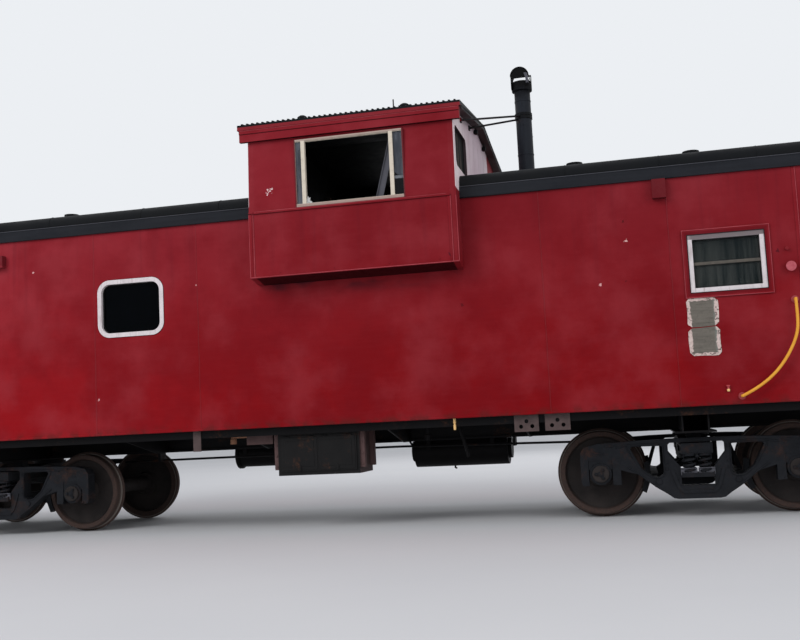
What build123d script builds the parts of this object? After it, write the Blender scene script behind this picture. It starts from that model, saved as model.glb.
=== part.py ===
# Wide-vision cupola caboose on two four-wheel trucks, in millimetres.
# X runs along the car, Y across it, Z up. The near side is -Y, and end "b" is +X.
# The origin is the middle of the car on the plane that the wheel flanges touch.
import os
from math import cos, pi, radians, sin

from build123d import *

os.makedirs("parts", exist_ok=True)

# Clearances
plate_gap = 0.3
running_gap = 0.08
deck_clearance = 6.0

# Wheels and axles
tread_radius = 419.0
flange_height = 25.5
axle_z = tread_radius + flange_height
back_to_back = 1362.0
rim_width = 140.0
rim_depth = 60.0
plate_thickness = 28.0
hub_radius = 132.0
hub_out = 20.0
axle_radius = 80.0
seat_radius = 92.0
journal_radius = 76.0
journal_spacing = 1956.0
end_cap_radius = 82.0
end_cap_depth = 24.0

# Trucks: sizes along X and Y, and heights above the axles
wheelbase = 1850.0
frame_thickness = 150.0
frame_edge = 9.0
frame_drop = 266.5
bearing_radius = 108.0
bearing_length = 176.0
adapter_height = 22.0
jaw_half = 116.0
leg_width = 80.0
leg_drop = 114.5
spring_seat_drop = 19.5
frame_top_gap = 50.0
column_reach = 163.0
window_drop = 65.0
opening_drop = 42.0
rim_bead = 26.0
rim_proud = 10.0
spring_seat_thick = 40.0
spring_seat_half_x = 158.0
spring_seat_depth = 250.0
spring_radius = 66.0
spring_wire = 26.0
spring_pitch = 148.0
spring_height = 185.0
spring_turns = 4
bolster_end_height = 100.0
bolster_half_x = 150.0
bolster_overhang = 40.0
bolster_belly = 70.0
bowl_rise = 330.5
bowl_rim = 22.0
bowl_depth = 22.0
centre_plate_radius = 165.0
centre_plate_height = 37.0
king_pin_radius = 24.0
side_bearing_y = 635.0
side_bearing_half = 70.0

# Brake beams and shoes
shoe_gap = 9.0
shoe_thick = 52.0
shoe_width = 84.0
shoe_half_angle = radians(19)
shoe_lean = radians(8)
shoe_offset = 87.0
beam_half_x = 36.0
beam_half_z = 32.0
beam_drop = 66.0
guide_half_x = 24.0
guide_half_z = 19.0

# Underframe
sill_half = 165.0
sill_web = 20.0
sill_foot = 45.0
sill_depth = 340.0
cover_plate_thick = 18.0
cover_plate_half = 190.0
bolster_web_thick = 16.0
bolster_web_x = 120.0
bearer_thick = 18.0
bearer_x = (780.0, 2150.0)
side_sill_depth = 190.0
side_sill_web = 16.0
side_sill_flange = 70.0
pipe_radius = 21.0
pipe_y = 320.0
pipe_drop = 90.0
pipe_hole_gap = 6.0
pipe_hanger_x = (1300.0, 4400.0)

# Ends of the car
body_half_length = 4950.0
truck_inset = 1140.0
platform_length = 790.0
platform_thick = 32.0
end_sill_thick = 60.0
end_sill_depth = 150.0
end_sill_middle = 260.0
coupler_rise = 71.0
coupler_reach = 330.0
shank_half_y = 66.0
shank_half_z = 62.0
knuckle_gap = 0.3
coupler_shank = (300.0, 90.0)
coupler_yoke = (620.0, 260.0)
coupler_head = (
    # distance out from the coupler's pulling face, place across the car
    (-250.0, -66.0), (-205.0, -150.0), (-90.0, -165.0), (40.0, -215.0), (62.0, -170.0), (-30.0, -110.0),
    (-75.0, -20.0), (-120.0, 40.0), (-120.0, 150.0), (-200.0, 150.0), (-250.0, 66.0),
)

# Body shell
body_half_width = 1422.0
wall_thick = 75.0
floor_thick = 60.0
side_lap = 110.0
wall_height = 2161.0
fascia_height = 118.0
fascia_rise = 38.0
fascia_thick = 25.0
roof_ledge = 18.0
shoulder_radius = 115.0
roof_corner_rise = 165.0
roof_fall = 107.0
roof_thick = 60.0
roof_overhang = 640.0

# Side and end windows
round_window_x = (-2325.0, -1555.0)
round_window_z = (937.0, 1559.0)
round_window_corner = 140.0
square_window_inset = (1100.0, 396.0)
square_window_z = (955.0, 1513.0)
end_window_y = (620.0, 1060.0)
end_window_z = (1010.0, 1570.0)
end_window_corner = 60.0
window_rim = 46.0
window_proud = 8.0
sash_bar_half = 14.0
sash_bar_thick = 24.0
pane_thick = 8.0
pane_depth = 38.0
surround_width = 44.0
surround_proud = 12.0

# Cupola, with heights above the top of the side walls
cupola_left = -470.0
cupola_right = 1695.0
cupola_half_width = 1651.0
cupola_lean = 40.0
cupola_wall = 60.0
cupola_bay_drop = 751.0
cupola_soffit_fall = 45.0
cupola_soffit_thick = 53.0
cupola_drip_drop = 74.0
drip_out = 16.0
drip_height = 20.0
cupola_rise = 804.0
cupola_fascia_height = 123.0
cupola_fascia_lip = 8.0
cupola_gable = 270.0
cupola_roof_thick = 68.0
cupola_roof_overhang = 90.0
cupola_roof_lip = 17.0
rib_pitch = 56.0
rib_height = 12.0
rib_half = 9.0
cupola_window_half = 575.0
cupola_window_rise = (-49.0, 648.0)
cupola_stile = 40.0
cupola_frame_depth = 44.0
cupola_head = 17.0
cupola_sill = 24.0
cupola_jamb = 14.0
cupola_pane_left = 75.0
cupola_pane_right = 110.0
cupola_end_inset = (91.0, 791.0)
cupola_end_window_rise = (250.0, 668.0)
cupola_end_corner = 70.0

# End doors
door_width = 700.0
door_height = 1920.0
door_thick = 45.0
door_gap = 9.0
door_sill = 12.0
door_window_half = 210.0
door_window_rise = (1060.0, 1660.0)
door_window_corner = 50.0
hinge_radius = 14.0
hinge_pin = 7.0
hinge_out = 4.0
hinge_half = 45.0
hinge_strap = 60.0
hinge_rise = (290.0, 960.0, 1630.0)

# Smoke stack
stack_x = 2250.0
stack_radius = 89.0
stack_wall = 5.0
stack_height = 1228.0
collar_width = 24.0
collar_height = 104.0
flashing_width = 62.0
hood_radius = 104.0
hood_rise = 46.0
hood_reach = 128.0
hood_sheet = 6.0
stay_radius = 11.0
clamp_half = 15.0
stays = (
    # place across the cupola, drop below its eave, drop below the stack's top
    (-1130.0, -5.0, 384.0),
    (-560.0, -75.0, 419.0),
)

# Platforms, steps, railings and ladders
step_width = 570.0
step_inset = 80.0
step_inner_y = 850.0
step_outer_y = 1400.0
tread_drop = (240.0, 490.0, 740.0)
tread_inner_y = (850.0, 1000.0, 1135.0)
tread_outer_y = (1110.0, 1260.0, 1400.0)
tread_thick = 28.0
stringer_thick = 10.0
rail_radius = 16.0
rail_bar_radius = 13.0
rail_inset = 36.0
rail_height = 900.0
rail_drop = (0.0, 320.0, 600.0)
gate_half = 400.0
corner_post_inset = 70.0
ladder_y = 640.0
ladder_half = 200.0
ladder_inset = 88.0
ladder_rise = 530.0
ladder_bend = (130.0, 200.0)
ladder_foot = 560.0
rung_radius = 11.0
rung_pitch = 330.0
rung_first = 260.0

# Hand brake on the near side of the platform at +X
brake_wheel_y = -880.0
brake_wheel_rise = 1075.0
brake_wheel_radius = 270.0
brake_wheel_rod = 13.0
brake_wheel_spokes = 5
brake_column_half = 40.0
brake_case_half = 110.0

# Corner grab rails: distance in from the body's end, height above the deck
rail_line = ((176.0, 833.0), (175.0, 679.0), (187.0, 541.0), (237.0, 406.0), (317.0, 273.0), (432.0, 142.0),
             (600.0, 22.0), (710.0, -34.0))
grab_stand = 62.0
grab_radius = 14.0
grab_flange = 34.0

# Equipment under the floor
box_x = (-390.0, 490.0)
box_sill_gap = 22.0
box_depth = 495.0
box_z = (556.0, 1020.0)
box_strap = 46.0
tray_x = (-748.0, -460.0)
tray_depth = 260.0
tray_inset = 40.0
tray_sheet = 8.0
tray_drop = 280.0
tank_x = (640.0, 1760.0)
tank_inset = 527.0
tank_drop = 480.0
tank_radius = 190.0
tank_neck = (120.0, 40.0)
cylinder_x = (-1540.0, -900.0)
cylinder_y = 560.0
cylinder_drop = 420.0
cylinder_radius = 150.0
cylinder_flange = (170.0, 40.0)
push_rod = (26.0, 340.0)
strap_width = 50.0

# Small fittings on the near side
hole_plate_x = ((2097.0, 2336.0), (2397.0, 2640.0))
hole_plate_drop = 162.0
hole_plate_thick = 12.0
hole_radius = 20.0
hole_rise = (100.0, 50.0)
hole_spread = 55.0
bracket_x = (-1290.0, -1205.0)
bracket_drop = 213.0
lamp_box_depth = 70.0
lamp_boxes = (
    # from the body's end, width, top below the wall's top, height, end of the car
    (1259.0, 127.0, 88.0, 183.0, 1),
    (1386.0, 127.0, 234.0, 130.0, -1),
)
disc_place = (188.0, 1140.0)
disc_radius = 46.0
disc_stand = 36.0
disc_thick = 12.0
hook_place = (211.0, 1310.0)
hook_radius = 16.0

# Vents and aerial
vents = (
    # place along the car, place across it
    (-3040.0, -700.0),
    (2814.0, -700.0),
    (3995.0, -700.0),
)
vent_radius = 55.0
vent_cap_radius = 85.0
vent_cap_height = 60.0
cupola_vent_inset = (410.0, 610.0)
cupola_vent_y = -1000.0
cupola_vent_radius = 44.0
cupola_vent_rise = 0.0
aerial_inset = 730.0
aerial_radius = 7.0
aerial_rise = 85.0

# Cabin
locker_inner_y = 560.0
locker_end_gap = 20.0
locker_rise = 60.0
seat_inner_y = 780.0
seat_wall_gap = 30.0
seat_spread = 620.0
seat_profile = (
    # place along the car from the seat's middle, height above the locker
    (-300.0, 0.0), (-300.0, 330.0), (120.0, 300.0), (330.0, 1000.0), (390.0, 980.0), (220.0, 240.0),
    (160.0, 0.0),
)
stove_half = (260.0, 240.0)
stove_leg = 60.0
stove_height = 740.0
stove_leg_radius = 22.0
bench_from_stack = 510.0
bench_end_gap = 315.0
bench_depth = 620.0
bench_height = 430.0

# Heights that follow from the sizes above
frame_bottom_z = axle_z - frame_drop
jaw_top_z = axle_z + bearing_radius + adapter_height
leg_bottom_z = axle_z - leg_drop
spring_seat_z = axle_z - spring_seat_drop
bolster_bottom_z = spring_seat_z + spring_height
bolster_end_top_z = bolster_bottom_z + bolster_end_height
bowl_floor_z = axle_z + bowl_rise
sill_underside_z = bowl_floor_z + centre_plate_height
frame_top_z = sill_underside_z - frame_top_gap
sill_bottom_z = sill_underside_z + cover_plate_thick
deck_z = sill_bottom_z + sill_depth
platform_z = deck_z + platform_thick
coupler_z = sill_bottom_z + coupler_rise
floor_top_z = deck_z + floor_thick
side_bottom_z = deck_z - side_lap
wall_top_z = deck_z + wall_height
fascia_top_z = wall_top_z + fascia_rise
fascia_bottom_z = fascia_top_z - fascia_height
roof_corner_z = wall_top_z + roof_corner_rise
roof_ridge_z = roof_corner_z + roof_fall
ceiling_ridge_z = roof_ridge_z - roof_thick
cupola_bottom_z = wall_top_z - cupola_bay_drop
soffit_inner_z = cupola_bottom_z - cupola_soffit_fall
drip_z = wall_top_z - cupola_drip_drop
cupola_eave_z = wall_top_z + cupola_rise
cupola_fascia_z = cupola_eave_z - cupola_fascia_height
cupola_ridge_z = cupola_eave_z + cupola_gable
stack_top_z = roof_ridge_z + stack_height
door_z = floor_top_z + door_sill + door_gap
ladder_top_z = wall_top_z + ladder_rise
rail_top_z = platform_z + rail_height
pipe_z = deck_z - pipe_drop

# Places that follow from the sizes above
journal_y = journal_spacing / 2
wheel_back_y = back_to_back / 2
wheel_face_y = wheel_back_y + rim_width
frame_inner_y = journal_y - frame_thickness / 2
shoe_y = wheel_back_y + shoe_offset
inner_half = body_half_width - wall_thick
end_wall_inner = body_half_length - wall_thick
end_sill_x = body_half_length + platform_length
roof_end_x = body_half_length + roof_overhang
truck_x = body_half_length - truck_inset
cupola_middle = (cupola_left + cupola_right) / 2
cupola_top_half = cupola_half_width - cupola_lean
cupola_roof_half = cupola_half_width + cupola_roof_lip
hinge_x = end_wall_inner - hinge_radius
hinge_y = door_width / 2 + hinge_out
step_front_x = end_sill_x - step_inset
step_back_x = step_front_x - step_width
rail_x = end_sill_x - rail_inset
ladder_x = end_sill_x - ladder_inset


# Shapes from outlines and corners
def block(x0, x1, y0, y1, z0, z1):
    """A box between two opposite corners."""
    middle = ((x0 + x1) / 2, (y0 + y1) / 2, (z0 + z1) / 2)
    return Pos(*middle) * Box(abs(x1 - x0), abs(y1 - y0), abs(z1 - z0))


def prism_xz(outline, y0, y1):
    """An outline of (x, z) points, thick from y0 to y1."""
    wire = Polyline(*[(x, y0, z) for x, z in outline], close=True)
    return extrude(make_face(wire), amount=y1 - y0, dir=(0, 1, 0))


def prism_yz(outline, x0, x1):
    """An outline of (y, z) points, thick from x0 to x1."""
    wire = Polyline(*[(x0, y, z) for y, z in outline], close=True)
    return extrude(make_face(wire), amount=x1 - x0, dir=(1, 0, 0))


def prism_xy(outline, z0, z1):
    """An outline of (x, y) points, thick from z0 to z1."""
    wire = Polyline(*[(x, y, z0) for x, y in outline], close=True)
    return extrude(make_face(wire), amount=z1 - z0, dir=(0, 0, 1))


def rounded_xz(outline, radius, y0, y1):
    """An outline of (x, z) points with all its corners rounded, thick from y0 to y1."""
    plane = Plane(origin=(0, y0, 0), x_dir=(1, 0, 0), z_dir=(0, -1, 0))
    face = make_face(Polyline(*outline, close=True))
    return extrude(plane * fillet(face.vertices(), radius), amount=y0 - y1)


def rod(start, end, radius):
    """A round bar between two points."""
    a, b = Vector(*start), Vector(*end)
    plane = Plane(origin=a, z_dir=(b - a).normalized())
    return extrude(plane * Circle(radius), amount=(b - a).length)


def spin_y(profile, x, z):
    """A turned part: an outline of (y, radius) points spun about the line y at (x, z)."""
    wire = Polyline(*[(0, y, radius) for y, radius in profile], close=True)
    return Pos(x, 0, z) * revolve(make_face(wire), Axis.Y)


def spin_z(profile, x, y):
    """A turned part: an outline of (radius, z) points spun about the upright line at (x, y)."""
    wire = Polyline(*[(radius, 0, z) for radius, z in profile], close=True)
    return Pos(x, y, 0) * revolve(make_face(wire), Axis.Z)


def pane_xz(x0, x1, z0, z1, y0, y1, corner):
    """An upright plate along the car with rounded corners."""
    plane = Plane(origin=((x0 + x1) / 2, y0, (z0 + z1) / 2), x_dir=(1, 0, 0), z_dir=(0, 1, 0))
    sketch = RectangleRounded(x1 - x0, z1 - z0, corner) if corner else Rectangle(x1 - x0, z1 - z0)
    return extrude(plane * sketch, amount=y1 - y0)


def pane_yz(y0, y1, z0, z1, x0, x1, corner):
    """An upright plate across the car with rounded corners."""
    plane = Plane(origin=(x0, (y0 + y1) / 2, (z0 + z1) / 2), x_dir=(0, 1, 0), z_dir=(1, 0, 0))
    sketch = RectangleRounded(y1 - y0, z1 - z0, corner) if corner else Rectangle(y1 - y0, z1 - z0)
    return extrude(plane * sketch, amount=x1 - x0)


def flip_y(shape):
    """The same piece on the other side of the car."""
    return mirror(shape, about=Plane.XZ)


def flip_x(shape):
    """The same piece on the other end of the car."""
    return mirror(shape, about=Plane.YZ)


def same(shape):
    """The piece as drawn."""
    return shape


def both_sides(pieces):
    """The pieces as drawn and again on the other side of the car."""
    return pieces + [flip_y(piece) for piece in pieces]


def both_ends(pieces):
    """The pieces as drawn and again on the other end of the car."""
    return pieces + [flip_x(piece) for piece in pieces]


def group(pieces):
    """Several solids that share one node."""
    solids = []
    for piece in pieces:
        solids.extend(piece.solids())
    return Compound(children=solids)


def with_mirror(half):
    """A half outline from its middle outwards, joined to its mirror image."""
    return half + [(-across, up) for across, up in reversed(half) if across > 0]


# Wheelsets
def wheel():
    """One wheel on the +Y side, turned with a flange, a coned tread, a rim, a plate and a hub."""
    back, face = wheel_back_y, wheel_face_y
    rim_inner = tread_radius - rim_depth
    plate_rim_y = back + 0.62 * rim_width
    plate_hub_y = back + 0.38 * rim_width
    half = plate_thickness / 2
    root = back + 0.3 * rim_width
    outline = [
        (back, rim_inner), (back, tread_radius + 8), (back + 10, axle_z), (back + 22, axle_z),
        (root, tread_radius), (face - 10, tread_radius - 5), (face, tread_radius - 14), (face, rim_inner + 6),
        (plate_rim_y + half, rim_inner - 14), (plate_hub_y + half, hub_radius + 20),
        (face + hub_out, hub_radius - 8), (face + hub_out, seat_radius),
        (back - hub_out, seat_radius), (back - hub_out, hub_radius - 8),
        (plate_hub_y - half, hub_radius + 18), (plate_rim_y - half, rim_inner - 16),
    ]
    return spin_y(outline, 0, 0)


def axle():
    """The axle with its wheel seats, journals and end caps."""
    seat_in = wheel_back_y - hub_out
    seat_out = wheel_face_y + hub_out
    shoulder = journal_y - bearing_length / 2 - 12
    cap_in = journal_y + bearing_length / 2 + 1
    cap_out = cap_in + end_cap_depth
    outline = [
        (0, 0), (0, axle_radius - 6), (seat_in - 90, axle_radius), (seat_in, seat_radius),
        (seat_out, seat_radius), (shoulder, journal_radius + 14), (shoulder, journal_radius),
        (cap_in, journal_radius), (cap_in, end_cap_radius), (cap_out - 6, end_cap_radius),
        (cap_out, end_cap_radius - 10), (cap_out, 0),
    ]
    side = spin_y(outline, 0, 0)
    return side + flip_y(side)


# Truck pieces, drawn about the truck's own middle
def side_frame():
    """A cast side frame: arched top chord, pedestal jaws, spring seat and lightening windows."""
    reach = wheelbase / 2
    jaw_in, jaw_out = reach - jaw_half, reach + jaw_half
    leg_in = jaw_in - leg_width
    tip = jaw_out + leg_width - 4
    thick = frame_thickness / 2
    tension_x = leg_in - 170
    outline = with_mirror([
        (0, frame_top_z), (420, frame_top_z - 4), (tip - 175, frame_top_z - 24), (tip - 40, frame_top_z - 54),
        (tip, frame_top_z - 112), (tip, leg_bottom_z + 40), (tip - 14, leg_bottom_z),
        (jaw_out, leg_bottom_z), (jaw_out, jaw_top_z), (jaw_in, jaw_top_z),
        (jaw_in, leg_bottom_z), (leg_in, leg_bottom_z), (leg_in, axle_z + 30),
        (tension_x, axle_z - 20), (spring_seat_half_x + 82, frame_bottom_z + 8),
        (spring_seat_half_x + 37, frame_bottom_z),
    ])
    body = prism_xz(outline, -thick, thick)
    column_x = spring_seat_half_x + column_reach
    chord_z = frame_top_z - window_drop
    window = [(column_x, chord_z), (leg_in - 89, chord_z), (leg_in - 202, axle_z + 34),
              (leg_in - 300, axle_z - 40), (leg_in - 357, axle_z - 52), (column_x, axle_z - 24)]
    for sign in (1, -1):
        body -= rounded_xz([(sign * x, z) for x, z in window][::sign], 24, -thick, thick)
    seat_half = spring_seat_half_x
    seat_bottom = spring_seat_z - spring_seat_thick
    body -= block(-seat_half, seat_half, -thick, thick, frame_bottom_z + 126, seat_bottom)
    opening = with_mirror([
        (0, frame_top_z - opening_drop), (seat_half + 92, frame_top_z - opening_drop),
        (seat_half + 110, frame_top_z - opening_drop - 18), (seat_half + 110, bolster_bottom_z + 10),
        (seat_half, spring_seat_z + 60), (seat_half, spring_seat_z),
    ])
    body -= prism_xz(opening, -thick, thick)
    for face in (body.faces().sort_by(Axis.Y)[0], body.faces().sort_by(Axis.Y)[-1]):
        body = chamfer(face.edges(), frame_edge)
    return body + spring_seat() + pocket_rim()


def pocket_rim():
    """The raised bead that runs down both columns and under the spring pocket, on both faces."""
    out, low = spring_seat_half_x + 93, frame_bottom_z + 54
    high = spring_seat_z + 40
    outer = [(out, high), (out, axle_z - 4), (out - 48, low + 56), (out - 100, low)]
    inner = [(x - rim_bead, z + rim_bead * (0 if z == high else 0.7)) for x, z in outer]
    half = outer + [(0, low), (0, low + rim_bead)] + inner[::-1]
    rim = None
    for side in (-1, 1):
        face = side * frame_thickness / 2
        for sign in (-1, 1):
            bead = prism_xz([(sign * x, z) for x, z in half], *sorted((face, face + side * rim_proud)))
            rim = bead if rim is None else rim + bead
    return rim


def spring_seat():
    """The shelf in the side frame that carries the springs, with a lip along each edge."""
    half_x = spring_seat_half_x - 6
    half_y = spring_seat_depth / 2
    shelf = block(-half_x, half_x, -half_y, half_y, spring_seat_z - spring_seat_thick, spring_seat_z)
    inside = half_x - frame_edge
    for side in (-1, 1):
        shelf += block(side * inside, side * half_x, -half_y, half_y, spring_seat_z, spring_seat_z + 12)
    return shelf


def coil_spring(x, y):
    """A coil spring between the seat and the bolster, its turns as a stack of ribs."""
    step = spring_height / spring_turns
    inner = spring_radius - spring_wire / 2
    bore = spring_radius - spring_wire
    outline = [(bore, spring_seat_z), (inner, spring_seat_z)]
    for index in range(spring_turns):
        base = spring_seat_z + index * step
        outline.append((spring_radius, base + step / 2))
        outline.append((inner, base + step))
    outline.append((bore, bolster_bottom_z))
    return spin_z(outline, x, y)


def springs():
    """Four coil springs at each end of the bolster."""
    across = spring_seat_depth / 2 - spring_radius + 10
    pieces = []
    for side in (-1, 1):
        for dx in (-spring_pitch / 2, spring_pitch / 2):
            for dy in (-across, across):
                pieces.append(coil_spring(dx, side * journal_y + dy))
    return pieces


def truck_bolster():
    """The bolster: a beam through both side frames with the centre bowl and side bearings."""
    end_y = journal_y + frame_thickness / 2 + bolster_overhang
    shelf_y = journal_y - spring_seat_depth / 2 - 15
    deck = bowl_floor_z - 8
    belly = bolster_bottom_z - bolster_belly
    outline = with_mirror([
        (0, deck), (centre_plate_radius + 95, deck), (shelf_y, bolster_end_top_z), (end_y, bolster_end_top_z),
        (end_y, bolster_bottom_z), (shelf_y, bolster_bottom_z), (centre_plate_radius + 215, belly),
        (0, belly),
    ])
    beam = prism_yz(outline, -bolster_half_x, bolster_half_x)
    bowl = centre_plate_radius + plate_gap
    beam += rod((0, 0, deck), (0, 0, bowl_floor_z + bowl_depth), bowl + bowl_rim)
    beam -= rod((0, 0, bowl_floor_z), (0, 0, bowl_floor_z + 2 * bowl_depth), bowl)
    beam -= rod((0, 0, belly), (0, 0, bowl_floor_z), king_pin_radius + plate_gap)
    pad_top = sill_underside_z - deck_clearance
    half = side_bearing_half
    for side in (-1, 1):
        y = side * side_bearing_y
        beam += block(-half, half, y - 0.8 * half, y + 0.8 * half, bolster_end_top_z - 20, pad_top)
    pocket = bolster_half_x - 40
    for side in (-1, 1):
        span = (side * pocket, side * bolster_half_x)
        near, far, top = centre_plate_radius + 60, shelf_y - 60, bolster_end_top_z - 30
        beam -= block(*span, -far, -near, bolster_bottom_z, top)
        beam -= block(*span, near, far, bolster_bottom_z, top)
    return beam


def bearings():
    """Four roller bearings that the journals run in."""
    bore = journal_radius + running_gap
    half = bearing_length / 2
    pieces = []
    for x in (-wheelbase / 2, wheelbase / 2):
        for y in (-journal_y, journal_y):
            outline = [(y - half, bore), (y - half, bearing_radius - 8), (y - half + 8, bearing_radius),
                       (y + half - 8, bearing_radius), (y + half, bearing_radius - 8), (y + half, bore)]
            pieces.append(spin_y(outline, x, axle_z))
    return pieces


def adapters():
    """Four saddles that seat the side frames on the bearings."""
    half_x = jaw_half - 2
    half_y = frame_thickness / 2 - 5
    pieces = []
    for x in (-wheelbase / 2, wheelbase / 2):
        for y in (-journal_y, journal_y):
            saddle = block(x - half_x, x + half_x, y - half_y, y + half_y, axle_z + 40, jaw_top_z)
            saddle -= rod((x, y - half_y, axle_z), (x, y + half_y, axle_z), bearing_radius + plate_gap)
            pieces.append(saddle)
    return pieces


def brake_beams():
    """Two brake beams with their shoes, which slide in guides on the side frames."""
    pieces = []
    shoe_in = tread_radius + shoe_gap
    shoe_out = shoe_in + shoe_thick
    beam_z = axle_z - beam_drop
    shoe_outline = [
        # distance from the wheel's middle, share of the shoe's half angle
        (shoe_in, -1), (shoe_in, -0.5), (shoe_in, 0), (shoe_in, 0.5), (shoe_in, 1),
        (shoe_out, 1), (shoe_out + 10, 0), (shoe_out, -1),
    ]
    for sign in (-1, 1):
        axle_x = sign * wheelbase / 2
        beam_x = axle_x - sign * (shoe_out + beam_half_x)
        beam = block(beam_x - beam_half_x, beam_x + beam_half_x, -shoe_y, shoe_y,
                     beam_z - beam_half_z, beam_z + beam_half_z)
        beam += block(beam_x - guide_half_x, beam_x + guide_half_x, -frame_inner_y, frame_inner_y,
                      beam_z - guide_half_z, beam_z + guide_half_z)
        for side in (-1, 1):
            points = []
            for radius, share in shoe_outline:
                angle = share * shoe_half_angle - shoe_lean
                points.append((axle_x - sign * radius * cos(angle), axle_z + radius * sin(angle)))
            y = side * shoe_y
            beam += prism_xz(points, y - shoe_width / 2, y + shoe_width / 2)
        pieces.append(beam)
    return pieces


def truck(x, end):
    """All nodes of one truck, moved to its place along the car."""
    place = Pos(x, 0, 0)
    frame = side_frame()
    nodes = {
        "side_frames_" + end: group([place * Pos(0, y, 0) * frame for y in (-journal_y, journal_y)]),
        "truck_bolster_" + end: place * truck_bolster(),
        "springs_" + end: group([place * s for s in springs()]),
        "bearings_" + end: group([place * s for s in bearings() + adapters()]),
        "brake_beams_" + end: group([place * s for s in brake_beams()]),
    }
    one_wheel = wheel()
    one_axle = axle()
    for number, offset in ((1, -wheelbase / 2), (2, wheelbase / 2)):
        at_axle = place * Pos(offset, 0, axle_z)
        name = end + str(number)
        nodes["wheels_" + name] = group([at_axle * one_wheel, at_axle * flip_y(one_wheel)])
        nodes["axle_" + name] = at_axle * one_axle
    return nodes


# Underframe
foot_y = sill_half + sill_foot
side_sill_y = inner_half - side_sill_web
side_sill_bottom = deck_z - side_sill_depth


def center_sill():
    """The hat-shaped centre sill that runs from end sill to end sill."""
    inner_y = sill_half - sill_web
    half = [(0, deck_z), (sill_half, deck_z), (sill_half, sill_bottom_z + sill_web),
            (foot_y, sill_bottom_z + sill_web), (foot_y, sill_bottom_z), (inner_y, sill_bottom_z),
            (inner_y, deck_z - sill_web), (0, deck_z - sill_web)]
    end = end_sill_x - end_sill_thick
    return prism_yz(with_mirror(half), -end, end)


def pipe_hole(x, half):
    """The hole that a web at x leaves for the train pipe."""
    return rod((x - half, pipe_y, pipe_z), (x + half, pipe_y, pipe_z), pipe_radius + pipe_hole_gap)


def body_bolster(x):
    """A body bolster: a lower cover plate, four web plates, the centre plate and the king pin."""
    plate_y = side_sill_y - 60
    notch_z = side_sill_bottom + 18
    half = cover_plate_half
    plate = block(x - half, x + half, -plate_y, plate_y, sill_underside_z, sill_bottom_z)
    half = bolster_web_thick / 2
    for side in (-1, 1):
        web = [(foot_y, sill_bottom_z), (plate_y, sill_bottom_z), (plate_y + 4, sill_bottom_z + 80),
               (plate_y + 4, notch_z), (side_sill_y, notch_z), (side_sill_y, deck_z), (sill_half, deck_z),
               (sill_half, sill_bottom_z + sill_web), (foot_y, sill_bottom_z + sill_web)]
        for dx in (-bolster_web_x, bolster_web_x):
            plate += prism_yz([(side * y, z) for y, z in web], x + dx - half, x + dx + half)
    plate -= pipe_hole(x, cover_plate_half)
    plate += rod((x, 0, bowl_floor_z), (x, 0, sill_underside_z), centre_plate_radius)
    plate += rod((x, 0, bolster_bottom_z), (x, 0, bowl_floor_z), king_pin_radius)
    return plate


def crossbearers():
    """Web plates from the centre sill to the side sills between the trucks."""
    pieces = []
    half = bearer_thick / 2
    web = [(foot_y, sill_bottom_z), (foot_y + 260, sill_bottom_z), (side_sill_y, side_sill_bottom + 30),
           (side_sill_y, deck_z), (sill_half, deck_z), (sill_half, sill_bottom_z + sill_web),
           (foot_y, sill_bottom_z + sill_web)]
    for x in (-bearer_x[1], -bearer_x[0], bearer_x[0], bearer_x[1]):
        for side in (-1, 1):
            piece = prism_yz([(side * y, z) for y, z in web], x - half, x + half)
            pieces.append(piece - pipe_hole(x, bearer_thick))
    return pieces


def side_sill():
    """The near side sill, a channel inside the lower edge of the side sheet."""
    flange = 14
    flange_y = side_sill_flange - inner_half
    top = side_sill_bottom + flange
    outline = [(-inner_half, side_sill_bottom), (flange_y, side_sill_bottom), (flange_y, top),
               (-side_sill_y, top), (-side_sill_y, deck_z), (-inner_half, deck_z)]
    return prism_yz(outline, -body_half_length, body_half_length)


def train_pipe():
    """The brake pipe under the floor, with the hangers that carry it."""
    end = end_sill_x - end_sill_thick
    pipe = rod((-end, pipe_y, pipe_z), (end, pipe_y, pipe_z), pipe_radius)
    for x in pipe_hanger_x:
        for sign in (-1, 1):
            middle = sign * x
            pipe += block(middle - 20, middle + 20, pipe_y - 34, pipe_y + 34, pipe_z - 6, deck_z)
    return pipe


def end_sill():
    """The end sill at +X with the striker round the coupler."""
    inner = end_sill_x - end_sill_thick
    low = deck_z - end_sill_depth
    middle = end_sill_middle
    half = [(0, deck_z), (step_outer_y, deck_z), (step_outer_y, low), (middle, low - 40),
            (middle - 50, sill_bottom_z - 30), (0, sill_bottom_z - 30)]
    plate = prism_yz(with_mirror(half), inner, end_sill_x)
    frame = block(end_sill_x, end_sill_x + 26, -158, 158, coupler_z - 112, coupler_z + 122)
    low, high = coupler_z - shank_half_z, coupler_z + shank_half_z + 14
    opening = block(inner, end_sill_x + 26, -115, 115, low, high)
    return plate + frame - opening


def coupler():
    """The coupler at +X: yoke in the centre sill, shank resting in the striker, and head with guard arm."""
    pocket = sill_half - sill_web
    low, high = coupler_z - shank_half_z, coupler_z + shank_half_z
    back, front = coupler_shank
    shank = block(end_sill_x - back, end_sill_x + front, -shank_half_y, shank_half_y, low, high)
    back, front = coupler_yoke
    shank += block(end_sill_x - back, end_sill_x - front, -pocket, pocket, low, high)
    tip = end_sill_x + coupler_reach
    head = [(tip + out, across) for out, across in coupler_head]
    return shank + prism_xy(head, coupler_z - 110, coupler_z + 110)


def knuckle():
    """The coupler's knuckle at +X, closed."""
    tip = end_sill_x + coupler_reach
    back = tip - 120 + knuckle_gap
    outline = [(back, 150), (back, 44), (tip - 60, 20), (tip - 40, -25), (tip - 12, -38), (tip, 10),
               (tip - 10, 90), (tip - 60, 150)]
    return prism_xy(outline, coupler_z - 120, coupler_z + 120)


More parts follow.
